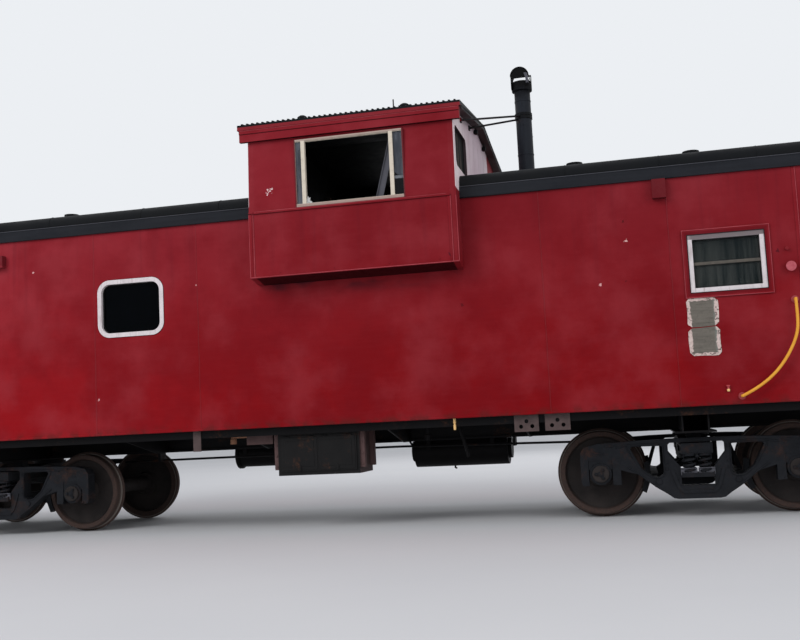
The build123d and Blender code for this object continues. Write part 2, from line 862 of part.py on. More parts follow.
# Body shell
windows_side = (
    # x from, x to, z from, z to, corner radius
    (*round_window_x, deck_z + round_window_z[0], deck_z + round_window_z[1], round_window_corner),
    (body_half_length - square_window_inset[0], body_half_length - square_window_inset[1],
     deck_z + square_window_z[0], deck_z + square_window_z[1], 0.0),
    (square_window_inset[1] - body_half_length, square_window_inset[0] - body_half_length,
     deck_z + square_window_z[0], deck_z + square_window_z[1], 0.0),
)


def side_wall():
    """The near side sheet with its window surrounds, open inside the cupola's bay."""
    length, width = body_half_length, body_half_width
    wall = block(-length, length, -width, -inner_half, side_bottom_z, wall_top_z)
    for x0, x1, z0, z1, corner in windows_side:
        wall -= pane_xz(x0, x1, z0, z1, -body_half_width, -inner_half, corner)
    for ring in window_surrounds():
        wall += ring
    bay_bottom = soffit_inner_z + locker_rise + 60
    wall -= block(cupola_left + cupola_wall, cupola_right - cupola_wall, -body_half_width, -inner_half,
                  bay_bottom, wall_top_z)
    return wall


def window_surrounds():
    """Raised pressings round the square side windows."""
    pieces = []
    w = surround_width
    outer = -body_half_width - surround_proud
    for x0, x1, z0, z1, corner in windows_side:
        if corner:
            continue
        ring = block(x0 - w, x1 + w, outer, -body_half_width, z0 - w, z1 + w)
        pieces.append(ring - block(x0, x1, outer, -body_half_width, z0, z1))
    return pieces


def window_frames():
    """Frames in the near side windows, with a sash bar in the square ones."""
    pieces = []
    outer = -body_half_width - window_proud
    inner = -inner_half
    rim = window_rim
    for x0, x1, z0, z1, corner in windows_side:
        ring = pane_xz(x0, x1, z0, z1, outer, inner, corner)
        ring -= pane_xz(x0 + rim, x1 - rim, z0 + rim, z1 - rim, outer, inner, max(corner - rim, 0))
        if not corner:
            middle = (z0 + z1) / 2
            ring += block(x0 + rim, x1 - rim, outer + 20, outer + 20 + sash_bar_thick,
                          middle - sash_bar_half, middle + sash_bar_half)
        pieces.append(ring)
    return pieces


def window_panes():
    """Glass of the near side windows, behind the sash bar."""
    pieces = []
    y0 = pane_depth - body_half_width
    rim = window_rim
    for x0, x1, z0, z1, corner in windows_side:
        inside = max(corner - rim, 0)
        pieces.append(pane_xz(x0 + rim, x1 - rim, z0 + rim, z1 - rim, y0, y0 + pane_thick, inside))
    return pieces


windows_end = tuple(
    (y0, y1, deck_z + end_window_z[0], deck_z + end_window_z[1], end_window_corner)
    for y0, y1 in ((-end_window_y[1], -end_window_y[0]), end_window_y)
)


def end_wall():
    """The end wall at +X with its doorway and two windows."""
    section = with_mirror([(0, ceiling_ridge_z), (inner_half, wall_top_z), (inner_half, deck_z), (0, deck_z)])
    wall = prism_yz(section, end_wall_inner, body_half_length)
    half = door_width / 2 + door_gap
    low = floor_top_z + door_sill
    wall -= block(end_wall_inner, body_half_length, -half, half, low, low + door_height + 2 * door_gap)
    for y0, y1, z0, z1, corner in windows_end:
        wall -= pane_yz(y0, y1, z0, z1, end_wall_inner, body_half_length, corner)
    return wall


def end_frames():
    """Frames of the end windows at +X."""
    pieces = []
    outer = body_half_length + window_proud
    rim = window_rim - 6
    for y0, y1, z0, z1, corner in windows_end:
        ring = pane_yz(y0, y1, z0, z1, end_wall_inner, outer, corner)
        ring -= pane_yz(y0 + rim, y1 - rim, z0 + rim, z1 - rim, end_wall_inner, outer, corner - rim)
        pieces.append(ring)
    return pieces


def end_panes():
    """Glass of the end windows at +X."""
    rim = window_rim - 6
    x0 = body_half_length - pane_depth
    return [pane_yz(y0 + rim, y1 - rim, z0 + rim, z1 - rim, x0, x0 + pane_thick, corner - rim)
            for y0, y1, z0, z1, corner in windows_end]


def door_window(x0, x1):
    """The window's outline in the end door at +X, between two depths."""
    low, high = door_window_rise
    half = door_window_half
    return pane_yz(-half, half, door_z + low, door_z + high, x0, x1, door_window_corner)


def door():
    """The end door at +X, flush with the wall's inner face, with a window, panels and hinge knuckles."""
    x1 = end_wall_inner + door_thick
    half = door_width / 2
    leaf = block(end_wall_inner, x1, -half, half, door_z, door_z + door_height)
    leaf -= door_window(end_wall_inner, x1)
    leaf -= block(x1 - 10, x1, 70 - half, half - 70, door_z + 120, door_z + door_window_rise[0] - 120)
    for height in hinge_rise:
        low = door_z + height
        barrel = rod((hinge_x, hinge_y, low), (hinge_x, hinge_y, low + hinge_half), hinge_radius)
        strap = block(hinge_x + 4, end_wall_inner, hinge_y - hinge_strap, hinge_y, low, low + hinge_half)
        leaf += barrel + strap
        leaf -= rod((hinge_x, hinge_y, low), (hinge_x, hinge_y, low + hinge_half), hinge_pin + plate_gap)
    return leaf


def door_pane():
    """The glass in the end door at +X."""
    x0 = end_wall_inner + door_thick / 2 - pane_thick / 2
    return door_window(x0, x0 + pane_thick)


def door_hinges():
    """Hinge halves and pins on the end wall at +X."""
    pieces = []
    jamb = door_gap - hinge_out + 1
    for height in hinge_rise:
        top = door_z + height - plate_gap
        low = top - hinge_half
        seat = rod((hinge_x, hinge_y, low), (hinge_x, hinge_y, top), hinge_radius)
        seat += block(hinge_x + 4, end_wall_inner, hinge_y + jamb, hinge_y + hinge_strap, low, top)
        seat += block(hinge_x - 6, hinge_x + 6, hinge_y, hinge_y + jamb + 30, low, top)
        seat += rod((hinge_x, hinge_y, top), (hinge_x, hinge_y, top + hinge_half - 3), hinge_pin)
        pieces.append(seat)
    return pieces


def roof(x0, x1):
    """One length of the main roof: fascias, rounded shoulders and a shallow gable over the ceiling."""
    fascia_y = body_half_width + fascia_thick
    plane = Plane(origin=(x0, 0, 0), x_dir=(0, 1, 0), z_dir=(1, 0, 0))
    shoulder_y = fascia_y - roof_ledge
    ledge_z = fascia_bottom_z + fascia_height
    half = [(-fascia_y, fascia_bottom_z), (-fascia_y, ledge_z), (-shoulder_y, ledge_z),
            (-shoulder_y, roof_corner_z)]
    other = [(-y, z) for y, z in half[::-1]]
    top = make_face(Polyline(*half, (0, roof_ridge_z), *other, close=True))
    shoulders = [corner for corner in top.vertices() if abs(corner.Y - roof_corner_z) < 1]
    solid = extrude(plane * fillet(shoulders, shoulder_radius), amount=x1 - x0)
    room = with_mirror([(0, ceiling_ridge_z), (inner_half, wall_top_z), (body_half_width, wall_top_z),
                        (body_half_width, fascia_bottom_z), (0, fascia_bottom_z)])
    return solid - prism_yz(room, x0, x1)


# Cupola
cupola_window_x = (cupola_middle - cupola_window_half, cupola_middle + cupola_window_half)
cupola_window_z = (wall_top_z + cupola_window_rise[0], wall_top_z + cupola_window_rise[1])
pane_left_x = cupola_window_x[0] + cupola_pane_left
pane_right_x = cupola_window_x[1] - cupola_pane_right


def cupola_side():
    """The near side of the cupola, from its sloping soffit up to the eave, with its window opening."""
    wall = cupola_wall
    bottom_out, top_out = cupola_half_width, cupola_top_half
    drip_low, drip_high = drip_z - drip_height / 2, drip_z + drip_height / 2
    outline = [
        (-bottom_out, cupola_bottom_z), (-bottom_out, drip_low), (-bottom_out - drip_out, drip_low),
        (-bottom_out - drip_out, drip_high - 4), (-bottom_out, drip_high),
        (-top_out, cupola_fascia_z), (-top_out, cupola_eave_z), (wall - top_out, cupola_eave_z),
        (wall - top_out, cupola_fascia_z), (wall - bottom_out, drip_z),
        (wall - bottom_out, cupola_bottom_z + cupola_soffit_thick),
        (-body_half_width, soffit_inner_z + cupola_soffit_thick), (-body_half_width, soffit_inner_z),
    ]
    panel = prism_yz(outline, cupola_left + wall, cupola_right - wall)
    return panel - block(*cupola_window_x, -bottom_out - drip_out, wall - top_out, *cupola_window_z)


def cupola_frame():
    """The sliding-window frame on the near side of the cupola: head, sill, jambs and two stiles."""
    x0, x1 = cupola_window_x
    z0, z1 = cupola_window_z
    outer = window_proud - cupola_half_width
    inner = outer + cupola_frame_depth
    jamb = cupola_jamb
    frame = block(x0, x1, outer, inner, z1 - cupola_head, z1)
    frame += block(x0, x1, outer - 8, inner, z0, z0 + cupola_sill)
    frame += block(x0, x0 + jamb, outer, inner, z0, z1)
    frame += block(x1 - jamb, x1, outer, inner, z0, z1)
    frame += block(pane_left_x, pane_left_x + cupola_stile, outer, inner, z0, z1)
    frame += block(pane_right_x - cupola_stile, pane_right_x, outer, inner, z0, z1)
    return frame


def cupola_panes():
    """The two narrow panes left in the near cupola window."""
    y0 = window_proud + 18 - cupola_half_width
    low = cupola_window_z[0] + cupola_sill
    high = cupola_window_z[1] - cupola_head
    left = block(cupola_window_x[0] + cupola_jamb, pane_left_x, y0, y0 + pane_thick, low, high)
    right = block(pane_right_x, cupola_window_x[1] - cupola_jamb, y0, y0 + pane_thick, low, high)
    return [left, right]


def cupola_end_windows(x0, x1):
    """The two window outlines of a cupola bulkhead, between two depths."""
    low = wall_top_z + cupola_end_window_rise[0]
    high = wall_top_z + cupola_end_window_rise[1]
    outer = cupola_top_half - cupola_end_inset[0]
    inner = cupola_top_half - cupola_end_inset[1]
    sides = ((-outer, -inner), (inner, outer))
    return [pane_yz(y0, y1, low, high, x0, x1, cupola_end_corner) for y0, y1 in sides]


def cupola_end(x0, x1):
    """A cupola bulkhead above the main roof, with the ends of the side bays and two windows."""
    seat_y = cupola_top_half - cupola_wall
    outline = with_mirror([
        (0, cupola_ridge_z - cupola_roof_thick), (seat_y, cupola_eave_z), (cupola_top_half, cupola_eave_z),
        (cupola_top_half, cupola_fascia_z), (cupola_half_width, drip_z), (cupola_half_width, cupola_bottom_z),
        (body_half_width, soffit_inner_z), (body_half_width, wall_top_z), (inner_half, wall_top_z),
        (0, ceiling_ridge_z),
    ])
    wall = prism_yz(outline, x0, x1)
    for window in cupola_end_windows(x0, x1):
        wall -= window
    return wall


def cupola_roof():
    """The ribbed gable roof of the cupola."""
    x0 = cupola_left - cupola_roof_overhang
    x1 = cupola_right + cupola_roof_overhang
    top = cupola_eave_z + cupola_roof_thick
    sheet_top = top - rib_height
    ridge = cupola_ridge_z - rib_height
    seat_y = cupola_top_half - cupola_wall
    section = with_mirror([(0, ridge), (cupola_roof_half, sheet_top), (cupola_roof_half, cupola_eave_z),
                           (seat_y, cupola_eave_z), (0, cupola_ridge_z - cupola_roof_thick)])
    sheet = prism_yz(section, x0, x1)
    count = int((x1 - x0) / rib_pitch)
    first = (x0 + x1) / 2 - (count - 1) * rib_pitch / 2
    edge = cupola_roof_half
    rib = with_mirror([(0, cupola_ridge_z), (edge, top), (edge, sheet_top), (0, ridge)])
    for index in range(count):
        middle = first + index * rib_pitch
        sheet += prism_yz(rib, middle - rib_half, middle + rib_half)
    return sheet


def cupola_fascia():
    """The fascia board under the near eave of the cupola, with a lip along its top."""
    end = cupola_roof_overhang - 15
    out = cupola_half_width + 4
    lip_z = cupola_eave_z - 38
    lip = -out - cupola_fascia_lip
    outline = [(-cupola_top_half, cupola_fascia_z), (-out, cupola_fascia_z),
               (-out, lip_z - cupola_fascia_lip), (lip, lip_z), (lip, cupola_eave_z),
               (-cupola_top_half, cupola_eave_z)]
    return prism_yz(outline, cupola_left - end, cupola_right + end)


# Smoke stack
def stack():
    """The smoke stack with its cone flashing, collar and hood, seated on the roof's ridge."""
    inner = stack_radius - stack_wall
    collar = stack_radius + collar_width
    skirt = stack_radius + flashing_width
    base = roof_ridge_z
    outline = [
        (inner, base), (inner, stack_top_z), (stack_radius, stack_top_z), (collar, stack_top_z - 4),
        (collar, stack_top_z - collar_height), (stack_radius, stack_top_z - collar_height - 8),
        (stack_radius, base + 50), (skirt, base + 6), (skirt, base),
    ]
    pipe = spin_z(outline, stack_x, 0)
    foot = block(stack_x - skirt, stack_x + skirt, -skirt, skirt, base - 40, base + 6)
    foot -= rod((stack_x, 0, base - 60), (stack_x, 0, base + 20), inner)
    return pipe + (foot - roof(stack_x - skirt - 10, stack_x + skirt + 10)) + stack_hood()


def stack_hood():
    """The half-barrel hood over the stack, on a back plate and a strap."""
    low = stack_top_z + hood_rise
    collar = stack_radius + collar_width
    plane = Plane(origin=(stack_x - 10, -hood_reach, low), x_dir=(1, 0, 0), z_dir=(0, 1, 0))
    lower_half = Pos(0, hood_radius) * Rectangle(4 * hood_radius, 2 * hood_radius)
    shell = extrude(plane * (Circle(hood_radius) - Circle(hood_radius - hood_sheet) - lower_half),
                    amount=2 * hood_reach)
    root = stack_top_z - collar_height + 14
    strap_top = low + 20
    back = block(stack_x - collar, stack_x - collar + hood_sheet, -90, 90, root, low)
    strap = block(stack_x + collar - hood_sheet, stack_x + collar, -22, 22, root, strap_top)
    tie = block(stack_x + hood_radius - 22, stack_x + collar, -22, 22, strap_top, strap_top + hood_sheet)
    return shell + back + strap + tie


def stack_stays():
    """Stay rods from clamps round the stack to plates on the cupola's end wall."""
    pieces = []
    for y, below_eave, below_top in stays:
        z_wall = cupola_eave_z - below_eave
        middle = Vector(stack_x, 0, stack_top_z - below_top)
        low, high = (stack_x, 0, middle.Z - clamp_half), (stack_x, 0, middle.Z + clamp_half)
        clamp = rod(low, high, stack_radius + 9) - rod(low, high, stack_radius + plate_gap)
        start = Vector(cupola_right + stay_radius, y, z_wall)
        finish = middle + (start - middle).normalized() * (stack_radius + 7)
        plate = block(cupola_right, cupola_right + 16, y - 24, y + 24, z_wall - 24, z_wall + 24)
        pieces.append(clamp + rod(start, finish, stay_radius) + plate)
    return pieces


def roof_vents():
    """Low vents on the main roof and on the cupola roof, and a whip aerial."""
    pieces = []
    for x, y in vents:
        neck = rod((x, y, roof_corner_z), (x, y, roof_ridge_z), vent_radius) - roof(x - 100, x + 100)
        cap = rod((x, y, roof_ridge_z), (x, y, roof_ridge_z + vent_cap_height), vent_cap_radius)
        pieces.append(neck + cap)
    y = cupola_vent_y
    inside = cupola_eave_z + cupola_gable * 0.4
    cover = cupola_roof()
    x = cupola_right - aerial_inset
    pieces.append(rod((x, y, inside), (x, y, cupola_ridge_z + aerial_rise), aerial_radius) - cover)
    top = cupola_ridge_z + cupola_vent_rise
    for x in (cupola_left + cupola_vent_inset[0], cupola_right - cupola_vent_inset[1]):
        pieces.append(rod((x, y, inside), (x, y, top), cupola_vent_radius) - cover)
    return pieces


# End platforms
def platform():
    """The deck of the platform at +X, cut away for the two step wells."""
    half = [(end_sill_x, step_outer_y), (step_front_x, step_outer_y), (step_front_x, step_inner_y),
            (body_half_length, step_inner_y)]
    outline = half + [(x, -y) for x, y in reversed(half)]
    return prism_xy(outline, deck_z, platform_z)


def step_well():
    """The near step well at +X: two side plates, three treads and the back plate."""
    rise = tread_thick + 2
    tread_z = [deck_z - drop for drop in tread_drop]
    side = [(-tread_inner_y[0], deck_z), (-tread_inner_y[0], tread_z[0] - rise),
            (-tread_inner_y[1], tread_z[1] - rise), (-tread_inner_y[2], tread_z[2] - rise),
            (-step_outer_y, tread_z[2] - rise), (-step_outer_y, deck_z)]
    well = prism_yz(side, step_back_x, step_back_x + stringer_thick)
    well += prism_yz(side, step_front_x - stringer_thick, step_front_x)
    for z, inner, outer in zip(tread_z, tread_inner_y, tread_outer_y):
        well += block(step_back_x, step_front_x, -outer, -inner, z - tread_thick, z)
        well += block(step_back_x, step_front_x, -outer, -outer + 6, z - tread_thick - 22, z)
    well += block(step_back_x, step_front_x, -step_inner_y - 8, -step_inner_y, tread_z[0] - rise, deck_z)
    return well


def railing():
    """The near half of the end railing at +X: corner post, gate post and three rails."""
    corner = step_outer_y - corner_post_inset
    post = rod((rail_x, -corner, platform_z), (rail_x, -corner, rail_top_z), rail_radius)
    post += rod((rail_x, -gate_half, platform_z), (rail_x, -gate_half, rail_top_z), rail_radius)
    for drop in rail_drop:
        z = rail_top_z - rail_radius - drop
        post += rod((rail_x, -corner, z), (rail_x, -gate_half, z), rail_bar_radius)
    return post


def ladder():
    """The roof ladder at +X: two uprights that bend over the roof's end, and the rungs."""
    x, bend, top = ladder_x, ladder_bend, ladder_top_z
    turn = top - bend[1]
    cover = roof(x - ladder_foot - 100, roof_end_x)
    frame = None
    for y in (ladder_y - ladder_half, ladder_y + ladder_half):
        leg = rod((x, y, platform_z), (x, y, turn), rail_radius)
        leg += rod((x, y, turn), (x - bend[0], y, top), rail_radius)
        leg += rod((x - bend[0], y, top), (x - ladder_foot, y, top), rail_radius)
        leg += rod((x - ladder_foot, y, top), (x - ladder_foot, y, roof_corner_z), rail_radius) - cover
        frame = leg if frame is None else frame + leg
    count = int((turn - platform_z - rung_first) / rung_pitch) + 1
    for index in range(count):
        z = platform_z + rung_first + index * rung_pitch
        frame += rod((x, ladder_y - ladder_half, z), (x, ladder_y + ladder_half, z), rung_radius)
    return frame


def hand_brake():
    """The hand brake at +X: a column with its gear case and an upright wheel."""
    y = brake_wheel_y
    z = platform_z + brake_wheel_rise
    half = brake_case_half
    back = rail_x - rail_radius - 14
    gear = block(back - 50, back, y - brake_column_half, y + brake_column_half, platform_z, z - half)
    gear += block(back - 90, back + 10, y - half, y + half, z - half, z + half)
    wheel_x = back - 126
    gear += rod((wheel_x - 14, y, z), (back - 90, y, z), 34)
    ring_in, ring_out = brake_wheel_radius - brake_wheel_rod, brake_wheel_radius + brake_wheel_rod
    flat = brake_wheel_rod / 2
    profile = [(ring_in, -flat), (ring_in, flat), (ring_in + flat, 2 * flat), (ring_out - flat, 2 * flat),
               (ring_out, flat), (ring_out, -flat), (ring_out - flat, -2 * flat), (ring_in + flat, -2 * flat)]
    gear += Pos(wheel_x, y, z) * Rot(0, 90, 0) * spin_z(profile, 0, 0)
    for index in range(brake_wheel_spokes):
        angle = 2 * pi * index / brake_wheel_spokes
        tip = (wheel_x, y + brake_wheel_radius * sin(angle), z + brake_wheel_radius * cos(angle))
        gear += rod((wheel_x, y, z), tip, 10)
    return gear


def corner_rail():
    """The near corner grab rail at +X, a bent bar from the corner post down to the side sill."""
    y = -body_half_width - grab_stand
    points = [(body_half_length - inset, y, deck_z + rise) for inset, rise in rail_line]
    line = Spline(*points)
    bar = sweep(Plane(origin=line @ 0, z_dir=line % 0) * Circle(grab_radius), path=line)
    for x, _, z in (points[0], points[-1]):
        bar += Pos(x, y, z) * Sphere(grab_radius)
        bar += rod((x, y, z), (x, -body_half_width, z), grab_radius)
        bar += rod((x, -body_half_width - 8, z), (x, -body_half_width, z), grab_flange)
    return bar


# Equipment under the floor
def equipment_box():
    """The battery and tool box hung from the floor on four straps, with a door on its near side."""
    (x0, x1), (bottom, top) = box_x, box_z
    y0 = side_sill_flange + box_sill_gap - inner_half
    y1 = y0 + box_depth
    box = block(x0, x1, y0, y1, bottom, top)
    box += block(x0 + 30, x1 - 30, y0 - 14, y0, bottom + 40, top - 60)
    for x in (x0 - box_strap, x1):
        for y in (y0 + 20, y1 - 90):
            box += block(x, x + box_strap, y, y + 70, bottom + 60, deck_z)
    return box


def side_tray():
    """The small sheet tray hung from the floor beside the equipment box."""
    sheet = tray_sheet
    (x0, x1), low = tray_x, deck_z - tray_drop
    y0 = side_sill_flange + box_sill_gap - inner_half + tray_inset
    y1 = y0 + tray_depth
    tray = block(x0, x1, y0, y1, low, deck_z)
    return tray - block(x0 + sheet, x1 - sheet, y0 + sheet, y1 - sheet, low + sheet, deck_z)


def brake_gear():
    """The air reservoir and the brake cylinder, each with the straps that hang it, and the train pipe."""
    z = deck_z - tank_drop
    tank_y = inner_half - tank_inset
    (x0, x1), (neck, reach) = tank_x, tank_neck
    tank = rod((x0, tank_y, z), (x1, tank_y, z), tank_radius)
    tank += rod((x0 - reach, tank_y, z), (x1 + reach, tank_y, z), neck)
    for x in (x0 + 3.2 * strap_width, x1 - 4 * strap_width):
        tank += block(x, x + strap_width, tank_y - tank_radius - 12, tank_y + tank_radius + 12, z, deck_z)
    z = deck_z - cylinder_drop
    (x0, x1), (flange, lip), (push, travel) = cylinder_x, cylinder_flange, push_rod
    cylinder = rod((x0, cylinder_y, z), (x1, cylinder_y, z), cylinder_radius)
    cylinder += rod((x0, cylinder_y, z), (x0 + lip, cylinder_y, z), flange)
    cylinder += rod((x1, cylinder_y, z), (x1 + travel, cylinder_y, z), push)
    half = cylinder_radius + 10
    for x in (x0 + 2 * strap_width, x1 - 2 * strap_width):
        cylinder += block(x, x + strap_width, cylinder_y - half, cylinder_y + half, z, deck_z)
    return [tank, cylinder, train_pipe()]


def side_fittings():
    """Small fittings on the near side: lashing plates, a bracket, two lamp boxes, a disc and a hook."""
    pieces = []
    y0 = -inner_half - hole_plate_thick
    low = side_bottom_z - hole_plate_drop
    for x0, x1 in hole_plate_x:
        plate = block(x0, x1, y0, -inner_half, low, side_bottom_z)
        middle = (x0 + x1) / 2
        for dx, dz in ((0, hole_rise[0]), (-hole_spread, hole_rise[1]), (hole_spread, hole_rise[1])):
            plate -= rod((middle + dx, y0, low + dz), (middle + dx, -inner_half, low + dz), hole_radius)
        pieces.append(plate)
    pieces.append(block(*bracket_x, y0, -inner_half, side_bottom_z - bracket_drop, side_bottom_z))
    face = -body_half_width
    for inset, width, top_drop, height, end in lamp_boxes:
        x = end * (body_half_length - inset - width / 2)
        top = wall_top_z - top_drop
        pieces.append(block(x - width / 2, x + width / 2, face - lamp_box_depth, face, top - height, top))
    x, z = body_half_length - disc_place[0], deck_z + disc_place[1]
    disc = rod((x, face - disc_stand - disc_thick, z), (x, face - disc_stand, z), disc_radius)
    disc += block(x - 10, x + 10, face - disc_stand, face, z - 35, z + 25)
    pieces.append(disc)
    x, z = body_half_length - hook_place[0], deck_z + hook_place[1]
    pieces.append(rod((x, face - 34, z), (x, face, z), hook_radius))
    return pieces


# Cabin fittings that show through the windows
locker_top_z = soffit_inner_z + locker_rise


def locker():
    """The near locker under the cupola, which carries the seats."""
    gap = cupola_wall + locker_end_gap
    x0, x1 = cupola_left + gap, cupola_right - gap
    return block(x0, x1, -inner_half, -locker_inner_y, floor_top_z, locker_top_z)


def bench():
    """The near bench along the wall at +X, a box with a cushion on it."""
    x0, x1 = stack_x + bench_from_stack, end_wall_inner - bench_end_gap
    return block(x0, x1, -inner_half, bench_depth - inner_half, floor_top_z, floor_top_z + bench_height)


def seats():
    """Two seats that face each other on the near locker."""
    base = locker_top_z
    pieces = []
    for sign in (-1, 1):
        x = cupola_middle + sign * seat_spread
        points = [(x + sign * along, base + up) for along, up in seat_profile]
        pieces.append(prism_xz(points, seat_wall_gap - inner_half, -seat_inner_y))
    return pieces


def stove():
    """The cabin stove below the stack with its flue up to the ceiling."""
    half_x, half_y = stove_half
    low = floor_top_z + stove_leg
    body = block(stack_x - half_x, stack_x + half_x, -half_y, half_y, low, low + stove_height)
    for dx in (60 - half_x, half_x - 60):
        for dy in (60 - half_y, half_y - 60):
            body += rod((stack_x + dx, dy, floor_top_z), (stack_x + dx, dy, low), stove_leg_radius)
    flue = rod((stack_x, 0, low + stove_height), (stack_x, 0, ceiling_ridge_z), stack_radius)
    return body + (flue - roof(stack_x - half_x, stack_x + half_x))


parts = {}
for name, x in (("a", -truck_x), ("b", truck_x)):
    parts.update(truck(x, name))

parts["center_sill"] = center_sill()
parts["body_bolsters"] = group([body_bolster(-truck_x), body_bolster(truck_x)])
parts["crossbearers"] = group(crossbearers())
parts["side_sills"] = group(both_sides([side_sill()]))
parts["floor"] = block(-end_wall_inner, end_wall_inner, -inner_half, inner_half, deck_z, floor_top_z)

parts["side_near"] = side_wall()
parts["side_far"] = flip_y(side_wall())
parts["window_frames"] = group(both_sides(window_frames()) + both_ends(end_frames()))
parts["window_panes"] = group(both_sides(window_panes()) + both_ends(end_panes()))

parts["cupola_side_near"] = cupola_side()
parts["cupola_side_far"] = flip_y(cupola_side())
parts["cupola_end_a"] = cupola_end(cupola_left, cupola_left + cupola_wall)
parts["cupola_end_b"] = cupola_end(cupola_right - cupola_wall, cupola_right)
parts["cupola_roof"] = cupola_roof()
parts["cupola_fascias"] = group(both_sides([cupola_fascia()]))
parts["cupola_frames"] = group(both_sides([cupola_frame()]))
parts["cupola_panes"] = group(
    both_sides(cupola_panes())
    + cupola_end_windows(cupola_left + pane_depth - pane_thick, cupola_left + pane_depth)
    + cupola_end_windows(cupola_right - pane_depth, cupola_right - pane_depth + pane_thick)
)

parts["roof_a"] = roof(-roof_end_x, cupola_left)
parts["roof_b"] = roof(cupola_right, roof_end_x)

parts["stack"] = stack()
parts["roof_fittings"] = group(stack_stays() + roof_vents())

for name, at_end in (("a", flip_x), ("b", same)):
    parts["end_wall_" + name] = at_end(end_wall())
    parts["door_" + name] = at_end(door())
    parts["door_pane_" + name] = at_end(door_pane())
parts["door_hinges"] = group(both_ends(door_hinges()))

parts["end_sills"] = group(both_ends([end_sill()]))
parts["couplers"] = group(both_ends([coupler(), knuckle()]))
parts["platforms"] = group(both_ends([platform()]))
parts["steps"] = group(both_ends(both_sides([step_well()])))
parts["railings"] = group(both_ends(both_sides([railing()])))
parts["ladders"] = group(both_ends([ladder()]))
parts["hand_brake"] = hand_brake()
parts["corner_rails"] = group(both_ends(both_sides([corner_rail()])))

parts["equipment_box"] = group([equipment_box(), side_tray()])
parts["brake_gear"] = group(brake_gear())
parts["side_fittings"] = group(side_fittings())
parts["lockers"] = group(both_sides([locker(), bench()]))
parts["seats"] = group(both_sides(seats()))
parts["stove"] = stove()

for node, shape in parts.items():
    export_step(shape, "parts/" + node + ".step")
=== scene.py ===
import functools
import itertools
import math

import bmesh
import bpy
from mathutils import Matrix, Vector


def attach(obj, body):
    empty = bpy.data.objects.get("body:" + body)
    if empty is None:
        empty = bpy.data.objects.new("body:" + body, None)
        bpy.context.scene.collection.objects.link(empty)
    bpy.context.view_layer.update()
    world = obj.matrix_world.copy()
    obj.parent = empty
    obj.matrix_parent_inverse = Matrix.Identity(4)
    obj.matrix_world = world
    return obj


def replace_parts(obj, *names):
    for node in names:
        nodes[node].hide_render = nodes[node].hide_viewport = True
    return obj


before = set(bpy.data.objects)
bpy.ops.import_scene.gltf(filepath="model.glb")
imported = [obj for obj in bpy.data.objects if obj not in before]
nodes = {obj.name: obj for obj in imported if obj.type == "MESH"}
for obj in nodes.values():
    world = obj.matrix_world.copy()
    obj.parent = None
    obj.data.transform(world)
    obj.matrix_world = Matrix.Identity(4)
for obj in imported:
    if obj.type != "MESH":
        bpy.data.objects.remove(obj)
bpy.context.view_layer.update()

# ------------------------ Wheelsets
# Rolled steel wheels pressed on forged axles. The treads are worn bright by the rails,
# the rims carry brown rust, and the plates are dark with brake dust and old grease.
AXLE_Z = 0.4445
AXLES = {"a1": -4.735, "a2": -2.885, "b1": 2.885, "b2": 4.735}
UP = (0, 0, 1)


def colour(red, green, blue):
    """A paint chip in everyday 0-255 values, as the linear light a shader wants."""
    return tuple((c / 255 / 12.92) if c <= 10 else ((c / 255 + 0.055) / 1.055) ** 2.4
                 for c in (red, green, blue)) + (1.0,)


class Signal:
    """One output of a shader node, that can be used in sums."""

    def __init__(self, bench, socket):
        self.bench, self.socket = bench, socket

    def __add__(self, other):
        return self.bench.maths("ADD", self, other)

    def __sub__(self, other):
        return self.bench.maths("SUBTRACT", self, other)

    def __mul__(self, other):
        return self.bench.maths("MULTIPLY", self, other)

    def __truediv__(self, other):
        return self.bench.maths("DIVIDE", self, other)

    def __abs__(self):
        return self.bench.maths("ABSOLUTE", self)

    def ease(self, low, high, start=0, end=1):
        """Goes smoothly from start to end while this value goes from low to high."""
        return self.bench.add("ShaderNodeMapRange", {"Value": self, "From Min": low, "From Max": high,
                                                     "To Min": start, "To Max": end},
                              interpolation_type="SMOOTHSTEP")


